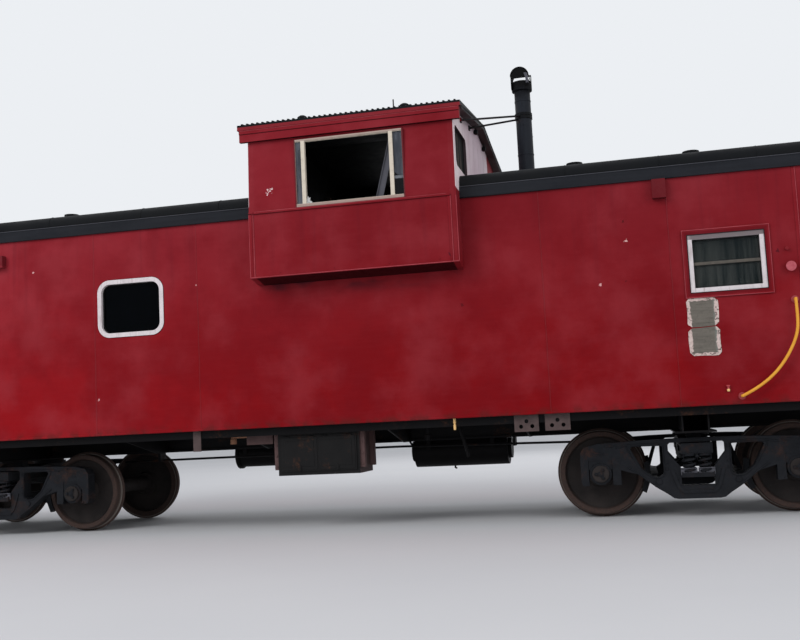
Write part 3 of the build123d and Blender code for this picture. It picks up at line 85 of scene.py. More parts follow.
class Bench:
    """Adds shader nodes to one tree, and gives back each new node's output."""

    def __init__(self, tree):
        self.tree = tree

    @functools.cached_property
    def p(self):
        """The place on the car, in metres; in an effect, the place that it is given."""
        return self.add("ShaderNodeTexCoord", output="Object")

    @functools.cached_property
    def axes(self):
        return self.split(self.p)

    @functools.cached_property
    def facing(self):
        """The three parts of the surface's own direction."""
        return self.split(self.add("ShaderNodeNewGeometry", output="Normal"))

    x = property(lambda self: self.axes[0])
    y = property(lambda self: self.axes[1])
    z = property(lambda self: self.axes[2])

    def add(self, kind, inputs=None, output=0, **settings):
        node = self.tree.nodes.new(kind)
        for key, value in settings.items():
            setattr(node, key, value)
        for key, value in (inputs or {}).items():
            self.join(node.inputs[key], value)
        return Signal(self, node.outputs[output])

    def join(self, socket, value):
        if isinstance(value, Signal):
            self.tree.links.new(value.socket, socket)
        else:
            socket.default_value = value

    def split(self, vector):
        node = self.tree.nodes.new("ShaderNodeSeparateXYZ")
        self.join(node.inputs[0], vector)
        return [Signal(self, output) for output in node.outputs]

    def stretch(self, by, at=None):
        return self.add("ShaderNodeVectorMath", {0: at or self.p, 1: by}, operation="MULTIPLY")

    def move(self, by):
        return self.add("ShaderNodeVectorMath", {0: self.p, 1: by})

    def maths(self, operation, one, two=0):
        return self.add("ShaderNodeMath", {0: one, 1: two}, operation=operation)

    def noise(self, scale, detail=4, rough=0.55, bend=0, at=None):
        return self.add("ShaderNodeTexNoise", {"Vector": at or self.p, "Scale": scale, "Detail": detail,
                                               "Roughness": rough, "Distortion": bend})

    def blend(self, share, under, over):
        """Mixes two colours, each a signal or a paint chip."""
        under, over = (colour(*c) if isinstance(c, tuple) else c for c in (under, over))
        return self.add("ShaderNodeMix", {0: share, 6: under, 7: over}, 2, data_type="RGBA")

    def use(self, effect, **inputs):
        """Places a shared effect, and gives back its outputs by name."""
        node = self.tree.nodes.new("ShaderNodeGroup")
        node.node_tree = effect
        for key, value in {"Vector": self.p, **inputs}.items():
            self.join(node.inputs[key], value)
        return {output.name: Signal(self, output) for output in node.outputs}

    def give(self, **values):
        """Joins an effect's results to its outputs."""
        for label, value in values.items():
            self.join(self.exit[label], value)

    def paint(self, base, roughness=None, height=None, distance=0.001):
        """Joins a material's colour, roughness and relief to its shader."""
        self.join(self.shader["Base Color"], base)
        if roughness:
            self.join(self.shader["Roughness"], roughness)
        if height:
            bump = self.add("ShaderNodeBump", {"Height": height, "Distance": distance})
            self.join(self.shader["Normal"], bump)


def new_effect(name, inputs, *outputs):
    """A shared shader effect with named sockets; gives its tree, its bench and its inputs."""
    tree = bpy.data.node_groups.new(name, "ShaderNodeTree")
    for label, start in {"Vector": (0, 0, 0), **inputs}.items():
        kind = "NodeSocketVector" if isinstance(start, tuple) else "NodeSocketFloat"
        tree.interface.new_socket(label, in_out="INPUT", socket_type=kind).default_value = start
    for label in outputs:
        kind = "NodeSocketColor" if label == "Color" else "NodeSocketFloat"
        tree.interface.new_socket(label, in_out="OUTPUT", socket_type=kind)
    bench = Bench(tree)
    into = {socket.name: Signal(bench, socket) for socket in tree.nodes.new("NodeGroupInput").outputs}
    bench.p, bench.exit = into["Vector"], tree.nodes.new("NodeGroupOutput").inputs
    return tree, bench, into


# Patches: broad stains with fine grain inside them, for paint, rust and dust alike.
patches, b, into = new_effect("Patches", {"Scale": 1, "Cover": 0.5, "Edge": 0.12}, "Mask", "Grain")
broad = b.noise(into["Scale"], 6, 0.62, 0.3)
fine = b.noise(into["Scale"] * 9, 4, 0.7)
limit = into["Cover"].ease(0, 1, 0.72, 0.28)
b.give(Mask=(broad * 0.72 + fine * 0.28).ease(limit - into["Edge"], limit + into["Edge"]), Grain=fine)

# Runs: rain marks that start at a height and fade on the way down.
runs, b, into = new_effect("Rain runs", {"Pitch": 6, "Top": 1, "Length": 1}, "Mask")
lines = b.add("ShaderNodeCombineXYZ", {"X": b.x * into["Pitch"], "Y": b.y * into["Pitch"], "Z": b.z * 0.45})
marks = b.noise(1, 5, 0.65, 0.15, at=lines).ease(0.48, 0.72)
drop = into["Top"] - b.z
b.give(Mask=marks * (drop.ease(-0.01, 0.02) * (drop / into["Length"]).ease(0, 1, 1, 0)))

# Rust: orange-brown blooms in dark scale, rough and slightly raised.
rust, b, into = new_effect("Rust", {"Scale": 6, "Cover": 0.4}, "Color", "Mask", "Height")
spread = b.use(patches, Scale=into["Scale"], Cover=into["Cover"], Edge=0.07)["Mask"]
bloom = b.noise(into["Scale"] * 5, 8, 0.7)
b.give(Color=b.blend(bloom.ease(0.35, 0.68), (54, 38, 32), (112, 74, 54)), Mask=spread, Height=bloom * spread)

# Dust: settles where a surface looks up, and is thrown up low down by the wheels.
dust, b, into = new_effect("Dust", {"Splash": 1, "Amount": 0.5}, "Mask")
thick = b.maths("MAXIMUM", b.facing[2].ease(0.25, 0.95), b.z.ease(0, into["Splash"], 0.55, 0))
b.give(Mask=thick * b.noise(7, 6, 0.65).ease(0.3, 0.7, 0.35, 1) * into["Amount"])


def new_finish(name, roughness=0.6, metallic=0, gloss=0.2):
    """A material with one Principled shader; gives the material and its bench."""
    material = bpy.data.materials.new(name)
    material.use_nodes = True
    b = Bench(material.node_tree)
    b.shader = material.node_tree.nodes["Principled BSDF"].inputs
    for label, value in (("Roughness", roughness), ("Metallic", metallic), ("Specular IOR Level", gloss)):
        b.shader[label].default_value = value
    return material, b


def dress(material, *names):
    """Gives CAD nodes their material."""
    for name in names:
        nodes[name].data.materials.clear()
        nodes[name].data.materials.append(material)


# The rings of rust, grease and bright tread are measured from each wheel's own axle.
for axle, x in AXLES.items():
    steel, b = new_finish("wheel steel " + axle, 0.7, 0.15)
    dx, dz = b.x - x, b.z - AXLE_Z
    radius = b.maths("SQRT", dx * dx + dz * dz)
    rusty = b.use(rust, Scale=9, Cover=0.72)
    plate = b.blend(b.noise(5, 6), (28, 27, 28), (64, 58, 56))
    rim = radius.ease(0.345, 0.372)
    face = b.blend(rim * (rusty["Mask"] * 0.42), plate, rusty["Color"])
    warm = b.blend(rim * 0.4, face, (78, 68, 66))
    tread = radius.ease(0.4165, 0.4195) * radius.ease(0.424, 0.428, 1, 0)
    circles = b.noise(260, 3, at=b.add("ShaderNodeCombineXYZ", {"X": radius}))
    b.paint(b.blend(tread, warm, (120, 112, 106)), rusty["Mask"].ease(0, 1, 0.55, 0.85) - tread * 0.3,
            rusty["Height"] * 1.2 + circles * 0.5, 0.0016)
    dress(steel, "wheels_" + axle, "axle_" + axle)


class Shape:
    """Collects the faces of one piece; each call adds one part of it."""

    def __init__(self):
        self.points, self.faces = [], []

    def take(self, points, faces):
        start = len(self.points)
        self.points += [Vector(p) for p in points]
        self.faces += [[start + i for i in face] for face in faces]

    def bar(self, low, high, edge=0.003):
        """A bar between two corners, with its edges broken: a face for each way that one can look."""
        middle = (Vector(low) + Vector(high)) / 2
        half = [abs(h) for h in (Vector(high) - Vector(low)) / 2]
        edge = min(edge, 0.45 * min(half))
        keys = [(signs, flat) for signs in itertools.product((-1, 1), repeat=3) for flat in range(3)]
        points = [Vector([s * (h - edge * (i != flat)) for i, (s, h) in enumerate(zip(signs, half))])
                  for signs, flat in keys]
        faces = []
        for aim in itertools.product((-1, 0, 1), repeat=3):
            face = [i for i, (signs, flat) in enumerate(keys)
                    if aim[flat] and all(a in (0, s) for a, s in zip(aim, signs))]
            if face:
                centre = sum((points[i] for i in face), Vector()) / len(face)
                u = points[face[0]] - centre
                v = Vector(aim).cross(u)
                face.sort(key=lambda i: math.atan2(v.dot(points[i] - centre), u.dot(points[i] - centre)))
                faces.append(face)
        self.take([middle + p for p in points], faces)

    def turned(self, profile, origin, axis, sides=24):
        """A profile of (radius, distance) points turned about an axis through the origin."""
        axis = Vector(axis).normalized()
        side = axis.orthogonal().normalized()
        other = axis.cross(side)
        points, rings, faces = [], [], []
        for radius, along in profile:
            turns = [2 * math.pi * i / sides for i in range(sides if radius else 1)]
            rings.append(range(len(points), len(points) + len(turns)))
            points += [Vector(origin) + axis * along + radius * (side * math.cos(a) + other * math.sin(a))
                       for a in turns]
        for low, high in zip(rings, rings[1:]):
            for i in range(sides):
                j = (i + 1) % sides
                quad = low[i % len(low)], low[j % len(low)], high[j % len(high)], high[i % len(high)]
                if len(set(quad)) > 2:
                    faces.append(list(dict.fromkeys(quad)))
        self.take(points, faces)

    def boss(self, at, axis, radius, top, rise, crown=None, sides=18):
        """A round boss, cap or washer: its foot, its upper edge, and the height of its middle."""
        self.turned([(0, 0), (radius, 0), (top, rise), (0, crown or rise)], at, axis, sides)

    def band(self, at, axis, inner, outer, half, rim, sides):
        """A band round a pipe, or a pin: inner and outer radius, half its length and half its rim."""
        self.turned([(inner, -half), (outer, -rim), (outer, rim), (inner, half)], at, axis, sides)

    def bolt(self, at, axis, size=0.012, washer=True):
        """A hexagon head with its chamfered top, on a washer or on the surface itself."""
        if washer:
            self.boss(at, axis, 1.25 * size, 1.25 * size, 0.18 * size, sides=16)
        head = (0, 0), (1, 0.1), (1, 0.72), (0.86, 0.86), (0, 0.86)
        self.turned([(radius * size, rise * size) for radius, rise in head], at, axis, 6)

    def rod(self, line, radius, sides=10, closed=False, flat=1):
        """A round or flattened bar that follows a line of points."""
        line = [Vector(p) for p in line]
        count, last = len(line), len(line) - 1
        points, faces = [], []
        for i, spot in enumerate(line):
            before = line[i - 1 if i or closed else i]
            after = line[(i + 1) % count if i < last or closed else i]
            aim = (after - before).normalized()
            if not i:
                up = aim.orthogonal().normalized()
            up = (up - aim * up.dot(aim)).normalized()
            other = aim.cross(up)
            for a in (2 * math.pi * k / sides for k in range(sides)):
                points.append(spot + radius * (up * math.cos(a) + flat * other * math.sin(a)))
        for i in range(count if closed else last):
            here, there = i * sides, (i + 1) % count * sides
            for k in range(sides):
                m = (k + 1) % sides
                faces.append([here + k, here + m, there + m, there + k])
        if not closed:
            faces += [range(sides)[::-1], range(last * sides, count * sides)]
        self.take(points, faces)

    def sheet(self, outline, thick):
        """A flat plate: outline points and the vector of its thickness."""
        count = len(outline)
        faces = [range(count)[::-1], range(count, 2 * count)]
        faces += [[i, (i + 1) % count, count + (i + 1) % count, count + i] for i in range(count)]
        self.take(list(outline) + [Vector(p) + Vector(thick) for p in outline], faces)

    def pad(self, at, half, lean=0, channels=0):
        """An upholstered cushion with crowned faces, pulled-in sides, sewn channels and piping."""
        turn = Matrix.Rotation(lean, 3, "Y")
        rows, around = 14, 56

        def power(value, by):
            return math.copysign(abs(value) ** by, value)

        def spot(u, v):
            x, y = power(math.cos(v), 0.24), power(math.sin(v), 0.24)
            waist = 1 - 0.035 * (1 - min(abs(x), abs(y)) ** 2)
            rise = power(math.sin(u), 0.62)
            if channels:
                rise *= 1 - 0.14 * abs(math.cos(math.pi * channels * (x + 1) / 2)) ** 10
            flat = power(math.cos(u), 0.24)
            wide = waist * flat
            return Vector(at) + turn @ Vector((half[0] * x * wide, half[1] * y * wide, half[2] * rise))

        points = [spot(-math.pi / 2 + math.pi * (i + 0.5) / rows, 2 * math.pi * k / around)
                  for i in range(rows) for k in range(around)]
        faces = [[i * around + k, i * around + m, (i + 1) * around + m, (i + 1) * around + k]
                 for i in range(rows - 1) for k in range(around) for m in [(k + 1) % around]]
        self.take(points, faces + [range(around)[::-1], range((rows - 1) * around, rows * around)])
        self.rod([spot(0, 2 * math.pi * k / 48) for k in range(48)], 0.0055, 6, closed=True)

    def mirror(self, axis):
        """Adds the same parts on the other side of the car's middle, and gives the shape back."""
        count = len(self.points)
        flip = Vector([-1 if i == axis else 1 for i in range(3)])
        self.points += [p * flip for p in self.points]
        self.faces += [[count + i for i in reversed(face)] for face in self.faces]
        return self

    def make(self, name, material, slot, smooth=35, body="car_body"):
        """Turns the collected faces into a piece that rides on a body."""
        mesh = bpy.data.meshes.new(name)
        mesh.from_pydata(self.points, [], self.faces)
        tidy = bmesh.new()
        tidy.from_mesh(mesh)
        bmesh.ops.recalc_face_normals(tidy, faces=tidy.faces)
        tidy.to_mesh(mesh)
        tidy.free()
        mesh.materials.append(material)
        piece = bpy.data.objects.new(name, mesh)
        bpy.context.scene.collection.objects.link(piece)
        for polygon in mesh.polygons:
            polygon.use_smooth = True
        mesh.set_sharp_from_angle(angle=math.radians(smooth))
        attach(piece, body)
        return piece


def rusted(b, paint, scale, cover, share, smooth, rough):
    """Rust over a paint: gives their colour, roughness and relief."""
    rusty = b.use(rust, Scale=scale, Cover=cover)
    base = b.blend(rusty["Mask"] * share, paint, rusty["Color"])
    return base, rusty["Mask"].ease(0, 1, smooth, rough), rusty["Height"]


# Sand-cast steel, never painted since new: a dark, grainy skin with thin rust and brake dust.
cast_steel, b = new_finish("cast steel", 0.72, 0.1, 0.15)
grime = b.blend(b.noise(11, 7, 0.65), (15, 17, 20), (38, 40, 45))
aged, shine, _ = rusted(b, grime, 4, 0.36, 0.3, 0.6, 0.88)
dirt = b.use(dust, Splash=0.9, Amount=0.35)["Mask"]
b.paint(b.blend(dirt, aged, (50, 48, 48)), shine, b.noise(240, 3, 0.7) + b.noise(40, 5) * 1.6, 0.0018)

# Axle end caps: three cap screws through a locking plate, with a lubrication plug in the middle.
CAP_FACE = 1.091
for axle, x in AXLES.items():
    caps = Shape()
    for side in (-1, 1):
        face, outward = Vector((x, side * CAP_FACE, AXLE_Z)), Vector((0, side, 0))
        ways = {d: Vector((math.sin(math.radians(d)), 0, math.cos(math.radians(d))))
                for d in range(0, 360, 5)}
        caps.sheet([face + 0.001 * outward + (0.062 if d % 120 == 30 else 0.034) * ways[d]
                    for d in (5, 30, 55, 125, 150, 175, 245, 270, 295)], 0.004 * outward)
        caps.turned([(0, 0), (0.02, 0), (0.02, 0.007), (0.014, 0.01), (0, 0.01)], face, outward, 18)
        for d in (30, 150, 270):
            caps.bolt(face + 0.005 * outward + 0.045 * ways[d], outward, 0.0135)
    caps.make("axle_cap_screws_" + axle, cast_steel, "cast_steel", body="wheelset_" + axle)

# ------------------------ Trucks
# Cast steel side frames on roller bearings, with nests of coil springs under the bolster ends.
# Cast in one piece with ribs and pads; the brake beams hang in the frames and are pulled by rods.
TRUCKS = {"a": -3.81, "b": 3.81}
FRAME_FACE = 1.053
BOLSTER_END = 1.091
SPRING_Y, SPRING_Z, SPRING_RISE = 0.978, 0.425, 0.185
BEAM_X, BEAM_Z = 0.48, 0.345
# The window's rim and the two long ribs of half a side frame, from the truck's middle and the rail.
RIBS = (
    (((0.312, 0.7), (0.64, 0.704), (0.656, 0.694), (0.655, 0.675), (0.54, 0.482), (0.44, 0.396),
      (0.372, 0.383), (0.322, 0.402), (0.311, 0.43)), 0.0075, True),
    (((0.35, 0.712), (0.5, 0.718), (0.66, 0.712), (0.76, 0.694)), 0.01, False),
    (((0.27, 0.222), (0.4, 0.305), (0.545, 0.42), (0.66, 0.5)), 0.009, False),
)
# Grey, rolled steel without paint, for keepers, props and straps.
dull_steel, b = new_finish("dull steel", 0.5, 0.6, 0.3)
scale = b.noise(9, 6, 0.7, at=b.stretch((4, 4, 1)))
b.paint(b.blend(scale, (58, 58, 64), (122, 122, 130)), scale.ease(0.3, 0.7, 0.4, 0.7),
        b.noise(160, 3), 0.0006)

for end, x in TRUCKS.items():
    dress(cast_steel, "side_frames_" + end, "truck_bolster_" + end, "bearings_" + end, "brake_beams_" + end)
    coils, fittings, keepers, rods = Shape(), Shape(), Shape(), Shape()
    for side in (-1, 1):
        y, outward = side * FRAME_FACE, (0, side, 0)
        for dx, dy in itertools.product((-0.074, 0.074), (-0.069, 0.069)):
            for mean, wire, turns, hand in ((0.052, 0.0125, 4.2, 1), (0.026, 0.008, 6, -1)):
                steps = int(turns * 20)
                line = []
                for t in (i / steps for i in range(steps + 1)):
                    rise = min(1, max(0, (t * turns - 0.5) / (turns - 1)))
                    a = 2 * math.pi * turns * t * hand
                    line.append((x + dx + mean * math.cos(a), side * SPRING_Y + dy + mean * math.sin(a),
                                 SPRING_Z + wire + (SPRING_RISE - 2 * wire) * rise))
                coils.rod(line, wire, 8)
        for s in (-1, 1):
            for z in (0.47, 0.53, 0.67):
                fittings.bolt((x + s * 0.292, y, z), outward, 0.013)
            fittings.bar((x + s * 0.79, y - side * 0.002, 0.7), (x + s * 0.87, y + side * 0.008, 0.722))
            for z in (0.655, 0.628):
                fittings.bar((x + s * 0.885, y - side * 0.002, z - 0.006),
                             (x + s * 0.965, y + side * 0.004, z + 0.006), 0.002)
            for line, radius, closed in RIBS:
                fittings.rod([(x + s * u, y, w) for u, w in line], radius, 8, closed)
            fittings.boss((x + s * 0.372, y, 0.35), outward, 0.03, 0.026, 0.01, 0.01, 20)
            for dx in (0.801, 1.049):
                fittings.rod([(x + s * dx, y + side * out, BEAM_Z) for out in (-0.07, 0.012)], 0.011, 8)
        for dx in (-0.135, -0.002):
            fittings.bar((x + dx, side * BOLSTER_END, 0.622), (x + dx + 0.137, side * 1.0985, 0.633))
        for dx in (-0.132, -0.003, 0.126):
            fittings.bar((x + dx, side * BOLSTER_END, 0.552), (x + dx + 0.006, side * 1.0975, 0.622), 0.002)
        fittings.boss((x, side * 1.092, 0.585), outward, 0.016, 0.012, 0.008)
        for dx in (-0.161, 0.004):
            keepers.bar((x + dx, side * 1.058, 0.404), (x + dx + 0.157, side * 1.078, 0.463), 0.005)
            keepers.bar((x + dx, side * 1.056, 0.463), (x + dx + 0.157, side * 1.084, 0.475))
            keepers.bolt((x + dx + 0.0785, side * 1.078, 0.433), outward, 0.009)
    for s in (-1, 1):
        foot, head = x + s * BEAM_X, x + s * (BEAM_X - 0.1)
        rods.sheet([(foot - 0.02, 0.06, 0.33), (foot + 0.02, 0.06, 0.33), (foot + 0.024, 0.06, 0.4),
                    (head + 0.018, 0.06, 0.69), (head - 0.018, 0.06, 0.69), (foot - 0.024, 0.06, 0.4)],
                   (0, 0.022, 0))
        for pin, z in ((foot, BEAM_Z), (foot, 0.384), (head, 0.672)):
            rods.band((pin, 0.071, z), (0, 1, 0), 0, 0.013, 0.034, 0.034, 14)
    for y in (0.045, 0.097):
        rods.rod([(x - 0.47, y, BEAM_Z), (x + 0.47, y, BEAM_Z)], 0.014, 12)
    body = "truck_" + end
    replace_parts(coils.make("coil_springs_" + end, cast_steel, "cast_steel", 60, body), "springs_" + end)
    fittings.make("side_frame_fittings_" + end, cast_steel, "cast_steel", body=body)
    keepers.make("spring_keepers_" + end, dull_steel, "bare_steel", body=body)
    rods.make("truck_brake_levers_" + end, cast_steel, "cast_steel", body=body)

# ------------------------ Underframe
# Welded sills, bolsters and crossbearers under a steel floor, painted black once.
# Rust shows through in patches, and road dust lies thickest on the parts that hang lowest.
frame_black, b = new_finish("underframe paint", 0.75, 0, 0.12)
aged, shine, scabs = rusted(b, b.blend(b.noise(3, 6), (8, 8, 9), (21, 20, 22)), 2.4, 0.3, 0.45, 0.55, 0.92)
dirt = b.use(dust, Splash=1.1, Amount=0.4)["Mask"]
b.paint(b.blend(dirt, aged, (52, 48, 46)), shine, b.noise(60, 5) + scabs, 0.0015)
dress(frame_black, "center_sill", "body_bolsters", "crossbearers", "side_sills", "brake_gear", "end_sills",
      "couplers", "steps")

# The equipment box: near-black sheet on rusty angle posts, with two doors, hinges and hasps.
BOX_X, BOX_FACE = 0.05, -1.269
box_paint, b = new_finish("equipment box paint", 0.7, 0, 0.2)
post = abs(b.x - BOX_X).ease(0.438, 0.442)
face = b.blend(b.noise(4, 6), (13, 13, 14), (29, 28, 28))
angle = b.blend(b.noise(9, 5), (72, 52, 52), (98, 78, 76))
aged, shine, scabs = rusted(b, b.blend(post, face, angle), 5, 0.28, 0.5, 0.58, 0.9)
b.paint(aged, shine, b.noise(30, 4) + scabs, 0.0016)
dress(box_paint, "equipment_box")
doors = Shape()
for x0, x1 in ((-0.345, 0.04), (0.06, 0.445)):
    doors.bar((x0, BOX_FACE - 0.005, 0.61), (x1, BOX_FACE + 0.002, 0.945), 0.004)
    doors.bar((x0 + 0.035, BOX_FACE - 0.009, 0.645), (x1 - 0.035, BOX_FACE - 0.003, 0.91), 0.004)
    for x in (x0 + 0.06, x1 - 0.06):
        doors.rod([(x - 0.03, BOX_FACE - 0.006, 0.95), (x + 0.03, BOX_FACE - 0.006, 0.95)], 0.007)
    x = (x0 + x1) / 2
    doors.bar((x - 0.014, BOX_FACE - 0.013, 0.6), (x + 0.014, BOX_FACE - 0.004, 0.665), 0.002)
    doors.rod([(x - 0.02, BOX_FACE - 0.011, 0.625), (x + 0.02, BOX_FACE - 0.011, 0.625)], 0.004, 8)
for x, z in itertools.product((-0.413, 0.513), (0.65, 0.76, 0.87, 0.98)):
    doors.bolt((x, -1.235, z), (0, -1, 0), 0.01)
doors.make("equipment_box_doors", box_paint, "underframe_paint")

# Brake rigging and pipes under the floor: flange bolts, a valve, levers, rods, hangers and pipes.
PLATE_Z = 1.169
rig = Shape()
for (x, ahead), k in itertools.product(((-0.905, 1), (-1.535, -1)), range(8)):
    a = math.pi * k / 4
    rig.bolt((x, 0.56 + 0.158 * math.sin(a), 0.75 + 0.158 * math.cos(a)), (ahead, 0, 0), 0.01)
rig.sheet([(-0.64, 0.44, 0.752), (-0.56, 0.44, 0.752), (-0.53, 0.56, 0.752), (-0.56, -0.16, 0.752),
           (-0.62, -0.16, 0.752)], (0, 0, 0.016))
for x, (y, inward) in itertools.product((0.8, 1.6), ((0.645, -1), (0.995, 1))):
    rig.bolt((x, y, 1.15), (0, inward, 0), 0.01)
rig.turned([(0, 0), (0.055, 0), (0.055, 0.03), (0.075, 0.045), (0.075, 0.1), (0.045, 0.13), (0.045, 0.19),
            (0, 0.19)], (-0.25, 0.62, 0.86), UP, 28)
rig.turned([(0, 0), (0.036, 0), (0.036, 0.05), (0.026, 0.06), (0, 0.06)], (1.1, -0.72, 0.85), UP, 20)
for line, radius, sides in (
    (((-0.59, -0.12, 0.745), (-1.6, -0.085, 0.742), (-2.8, 0.015, 0.735)), 0.013, 10),
    (((-0.59, 0.15, 0.772), (0.6, 0.165, 0.772), (2.75, 0.06, 0.74)), 0.013, 10),
    (((-0.25, 0.56, 1.01), (-0.25, 0.45, 1.01), (-0.25, 0.36, 1.06), (-0.25, 0.335, 1.08)), 0.014, 12),
    (((-0.34, 0.62, 1.02), (-0.62, 0.62, 1.02), (-0.8, 0.6, 0.98), (-0.88, 0.6, 0.9)), 0.013, 12),
    (((-0.16, 0.62, 1.02), (0.3, 0.64, 1.02), (0.52, 0.76, 0.9), (0.61, 0.82, 0.72)), 0.013, 12),
    (((1.1, 0.82, 0.505), (1.1, 0.82, 0.48), (1.1, 0.9, 0.47)), 0.011, 10),
    (((1.476, -0.9, 1.15), (1.476, -0.9, 0.96), (1.546, -0.9, 0.7), (1.552, -0.9, 0.66)), 0.016, 12),
    (((1.1, -0.72, 1.15), (1.1, -0.72, 0.9)), 0.024, 14),
    (((-2.6, -1.02, 1.1), (-1, -1.02, 1.1), (0.4, -1.02, 1.1), (2.7, -1.02, 1.1)), 0.012, 10),
):
    rig.rod(line, radius, sides)
for low, high, edge in (
    ((-0.6, 0.535, 0.695), (-0.575, 0.585, 0.805), 0.004),
    ((-2.3, -0.13, 0.728), (-2.27, 0.02, 0.832), 0.003),
    ((1.9, 0.05, 0.728), (1.93, 0.19, 0.832), 0.003),
    ((-0.34, 0.56, 0.99), (-0.16, 0.68, 1.045), 0.008),
    ((-0.31, 0.59, 1.04), (-0.19, 0.65, 1.171), 0.004),
):
    rig.bar(low, high, edge)
for x in (-0.3, 0.75, 1.8):
    rig.bar((x, -1.25, 1.12), (x + 0.05, -0.4, PLATE_Z), 0.004)
for x in (-2.4, -1.4, 0.2, 1.3, 2.4):
    rig.bar((x - 0.012, -1.045, 1.095), (x + 0.012, -0.995, PLATE_Z), 0.002)
for s, k, (y0, y1) in itertools.product((-1, 1), range(5), ((-1.33, -0.22), (0.22, 1.33))):
    x = s * (0.98 + 0.24 * k)
    rig.bar((x - 0.004, y0, 1.15), (x + 0.004, y1, 1.1695), 0.001)
rig.make("brake_rigging", frame_black, "underframe_paint")

# A rusty pipe tee with its branch, in the tray left of the box.
pipe_rust, b = new_finish("rusty pipe", 0.85, 0.1)
rusty = b.use(rust, Scale=12, Cover=0.7)
b.paint(b.blend(rusty["Mask"], (84, 62, 52), (142, 104, 82)), rusty["Mask"].ease(0, 1, 0.7, 0.95),
        rusty["Height"])
TEE_X, TEE_Y = -0.908, -1.185
tee = Shape()
tee.turned([(0, 0), (0.03, 0), (0.034, 0.004), (0.034, 0.05), (0.026, 0.056), (0.026, 0.13), (0.034, 0.136),
            (0.034, 0.17), (0.022, 0.175), (0.022, 0.24), (0, 0.24)], (TEE_X, TEE_Y, 0.905), UP, 20)
tee.rod([(x, TEE_Y, 0.985) for x in (TEE_X, -0.84, -0.79, -0.747)], 0.021, 14)
tee.bar((-0.94, -1.215, 1.135), (-0.876, -1.155, 1.1695))
tee.make("tray_pipe_tee", pipe_rust, "underframe_paint")

# ------------------------ Body sides
# Welded sheet steel with vertical plate joints, sprayed red many times over. The red has faded under the
# roof, and is painted paler there for the sheen of the sky as well; it stays bright low down, and is chipped
# here and there to white.
SIDE_Y, BAY_Y = 1.422, -1.651
WINDOW_X, WINDOW_Z = 4.202, 2.404
CORNER_X = 4.852
BAY_X = 0.61

# Spot: one ragged fleck about a place.
spot, b, into = new_effect("Spot", {"Place": (0, 0, 0), "Size": 0.02}, "Mask")
away = b.add("ShaderNodeVectorMath", {0: b.p, 1: into["Place"]}, 1, operation="DISTANCE")
ragged = away * b.noise(60, 4, 0.5).ease(0.3, 0.7, 0.45, 1.6)
b.give(Mask=(ragged / into["Size"]).ease(0.8, 1, 1, 0))

# Aged red: the body's red with its fading and a painted sheen up high, painted shade under the bay and round
# the square windows, rain marks, chalk and grime.
aged_red, b, into = new_effect("Aged red", {}, "Color", "Roughness", "Height")
# Painted sheen: towards the top the red is paler and pinker, as well as faded.
near_top = b.z.ease(1.2, 3.5)
towards_b = (b.x + b.noise(0.35, 2) * 3).ease(-2.8, 3.2)
fresh = b.blend(towards_b, (141, 15, 22), (127, 10, 16))
faded_with_sheen = b.blend(towards_b, (139, 38, 47), (122, 29, 37))
deep = b.blend(near_top, fresh, faded_with_sheen)
soft = b.noise(1.25, 4, 0.55, at=b.move((2, 8, 4))).ease(0.42, 0.6)
struck = b.blend(soft * 0.42, deep, (106, 9, 17))
tint = b.blend(b.use(patches, Scale=0.9, Cover=0.44, Edge=0.2)["Mask"] * 0.4, struck, (106, 18, 27))
haze = b.noise(1.6, 5, 0.55, at=b.move((6, 1, 7))).ease(0.42, 0.74)
hazy = b.blend(haze * 0.34, tint, (152, 58, 66))
rain = b.use(runs, Pitch=11, Top=3.27, Length=1.5)["Mask"]
wet = b.blend(rain * 0.26, hazy, (88, 26, 34))
brush = b.noise(3, 5, 0.6, at=b.stretch((1.2, 1.2, 9)))
stroked = b.blend(brush.ease(0.4, 0.75, 0, 0.05), wet, (150, 54, 62))
on_side = abs(b.y).ease(1.45, 1.44)
# Painted shade: a darker band on the side sheet just under the bay's overhang, broken up by noise.
below_bay = on_side * (b.z.ease(2.36, 2.52) * abs(b.x - BAY_X).ease(1.1, 0.95))
under_bay_breakup = b.noise(1.7, 3, at=b.stretch((1, 1, 2), b.move((4, 2, 0)))).ease(0.44, 0.6, 0, 0.75)
shaded_under_bay = b.blend(below_bay * under_bay_breakup, stroked, (62, 22, 30))
# Painted shade in the recess round each square window.
from_window = b.maths("MAXIMUM", abs(abs(b.x) - WINDOW_X) / 0.384, abs(b.z - WINDOW_Z) / 0.312)
shaded = b.blend(from_window.ease(0.97, 1, 0.6, 0) * on_side, shaded_under_bay, (88, 14, 22))
foot = b.z.ease(1.055, 1.16, 1, 0) * b.noise(9, 6).ease(0.42, 0.62)
cloud = b.use(patches, Vector=b.move((3, 5, 9)), Scale=1.5, Cover=0.38, Edge=0.2)["Mask"]
buckle = b.noise(1.6, 2, at=b.stretch((0.8, 1, 1.2)))
b.give(Color=b.blend(foot * 0.6, shaded, (76, 34, 32)), Roughness=(cloud + rain).ease(0, 1.2, 0.4, 0.62),
       Height=buckle * 6 + (b.noise(320, 2) * 0.07 + brush * 0.03))
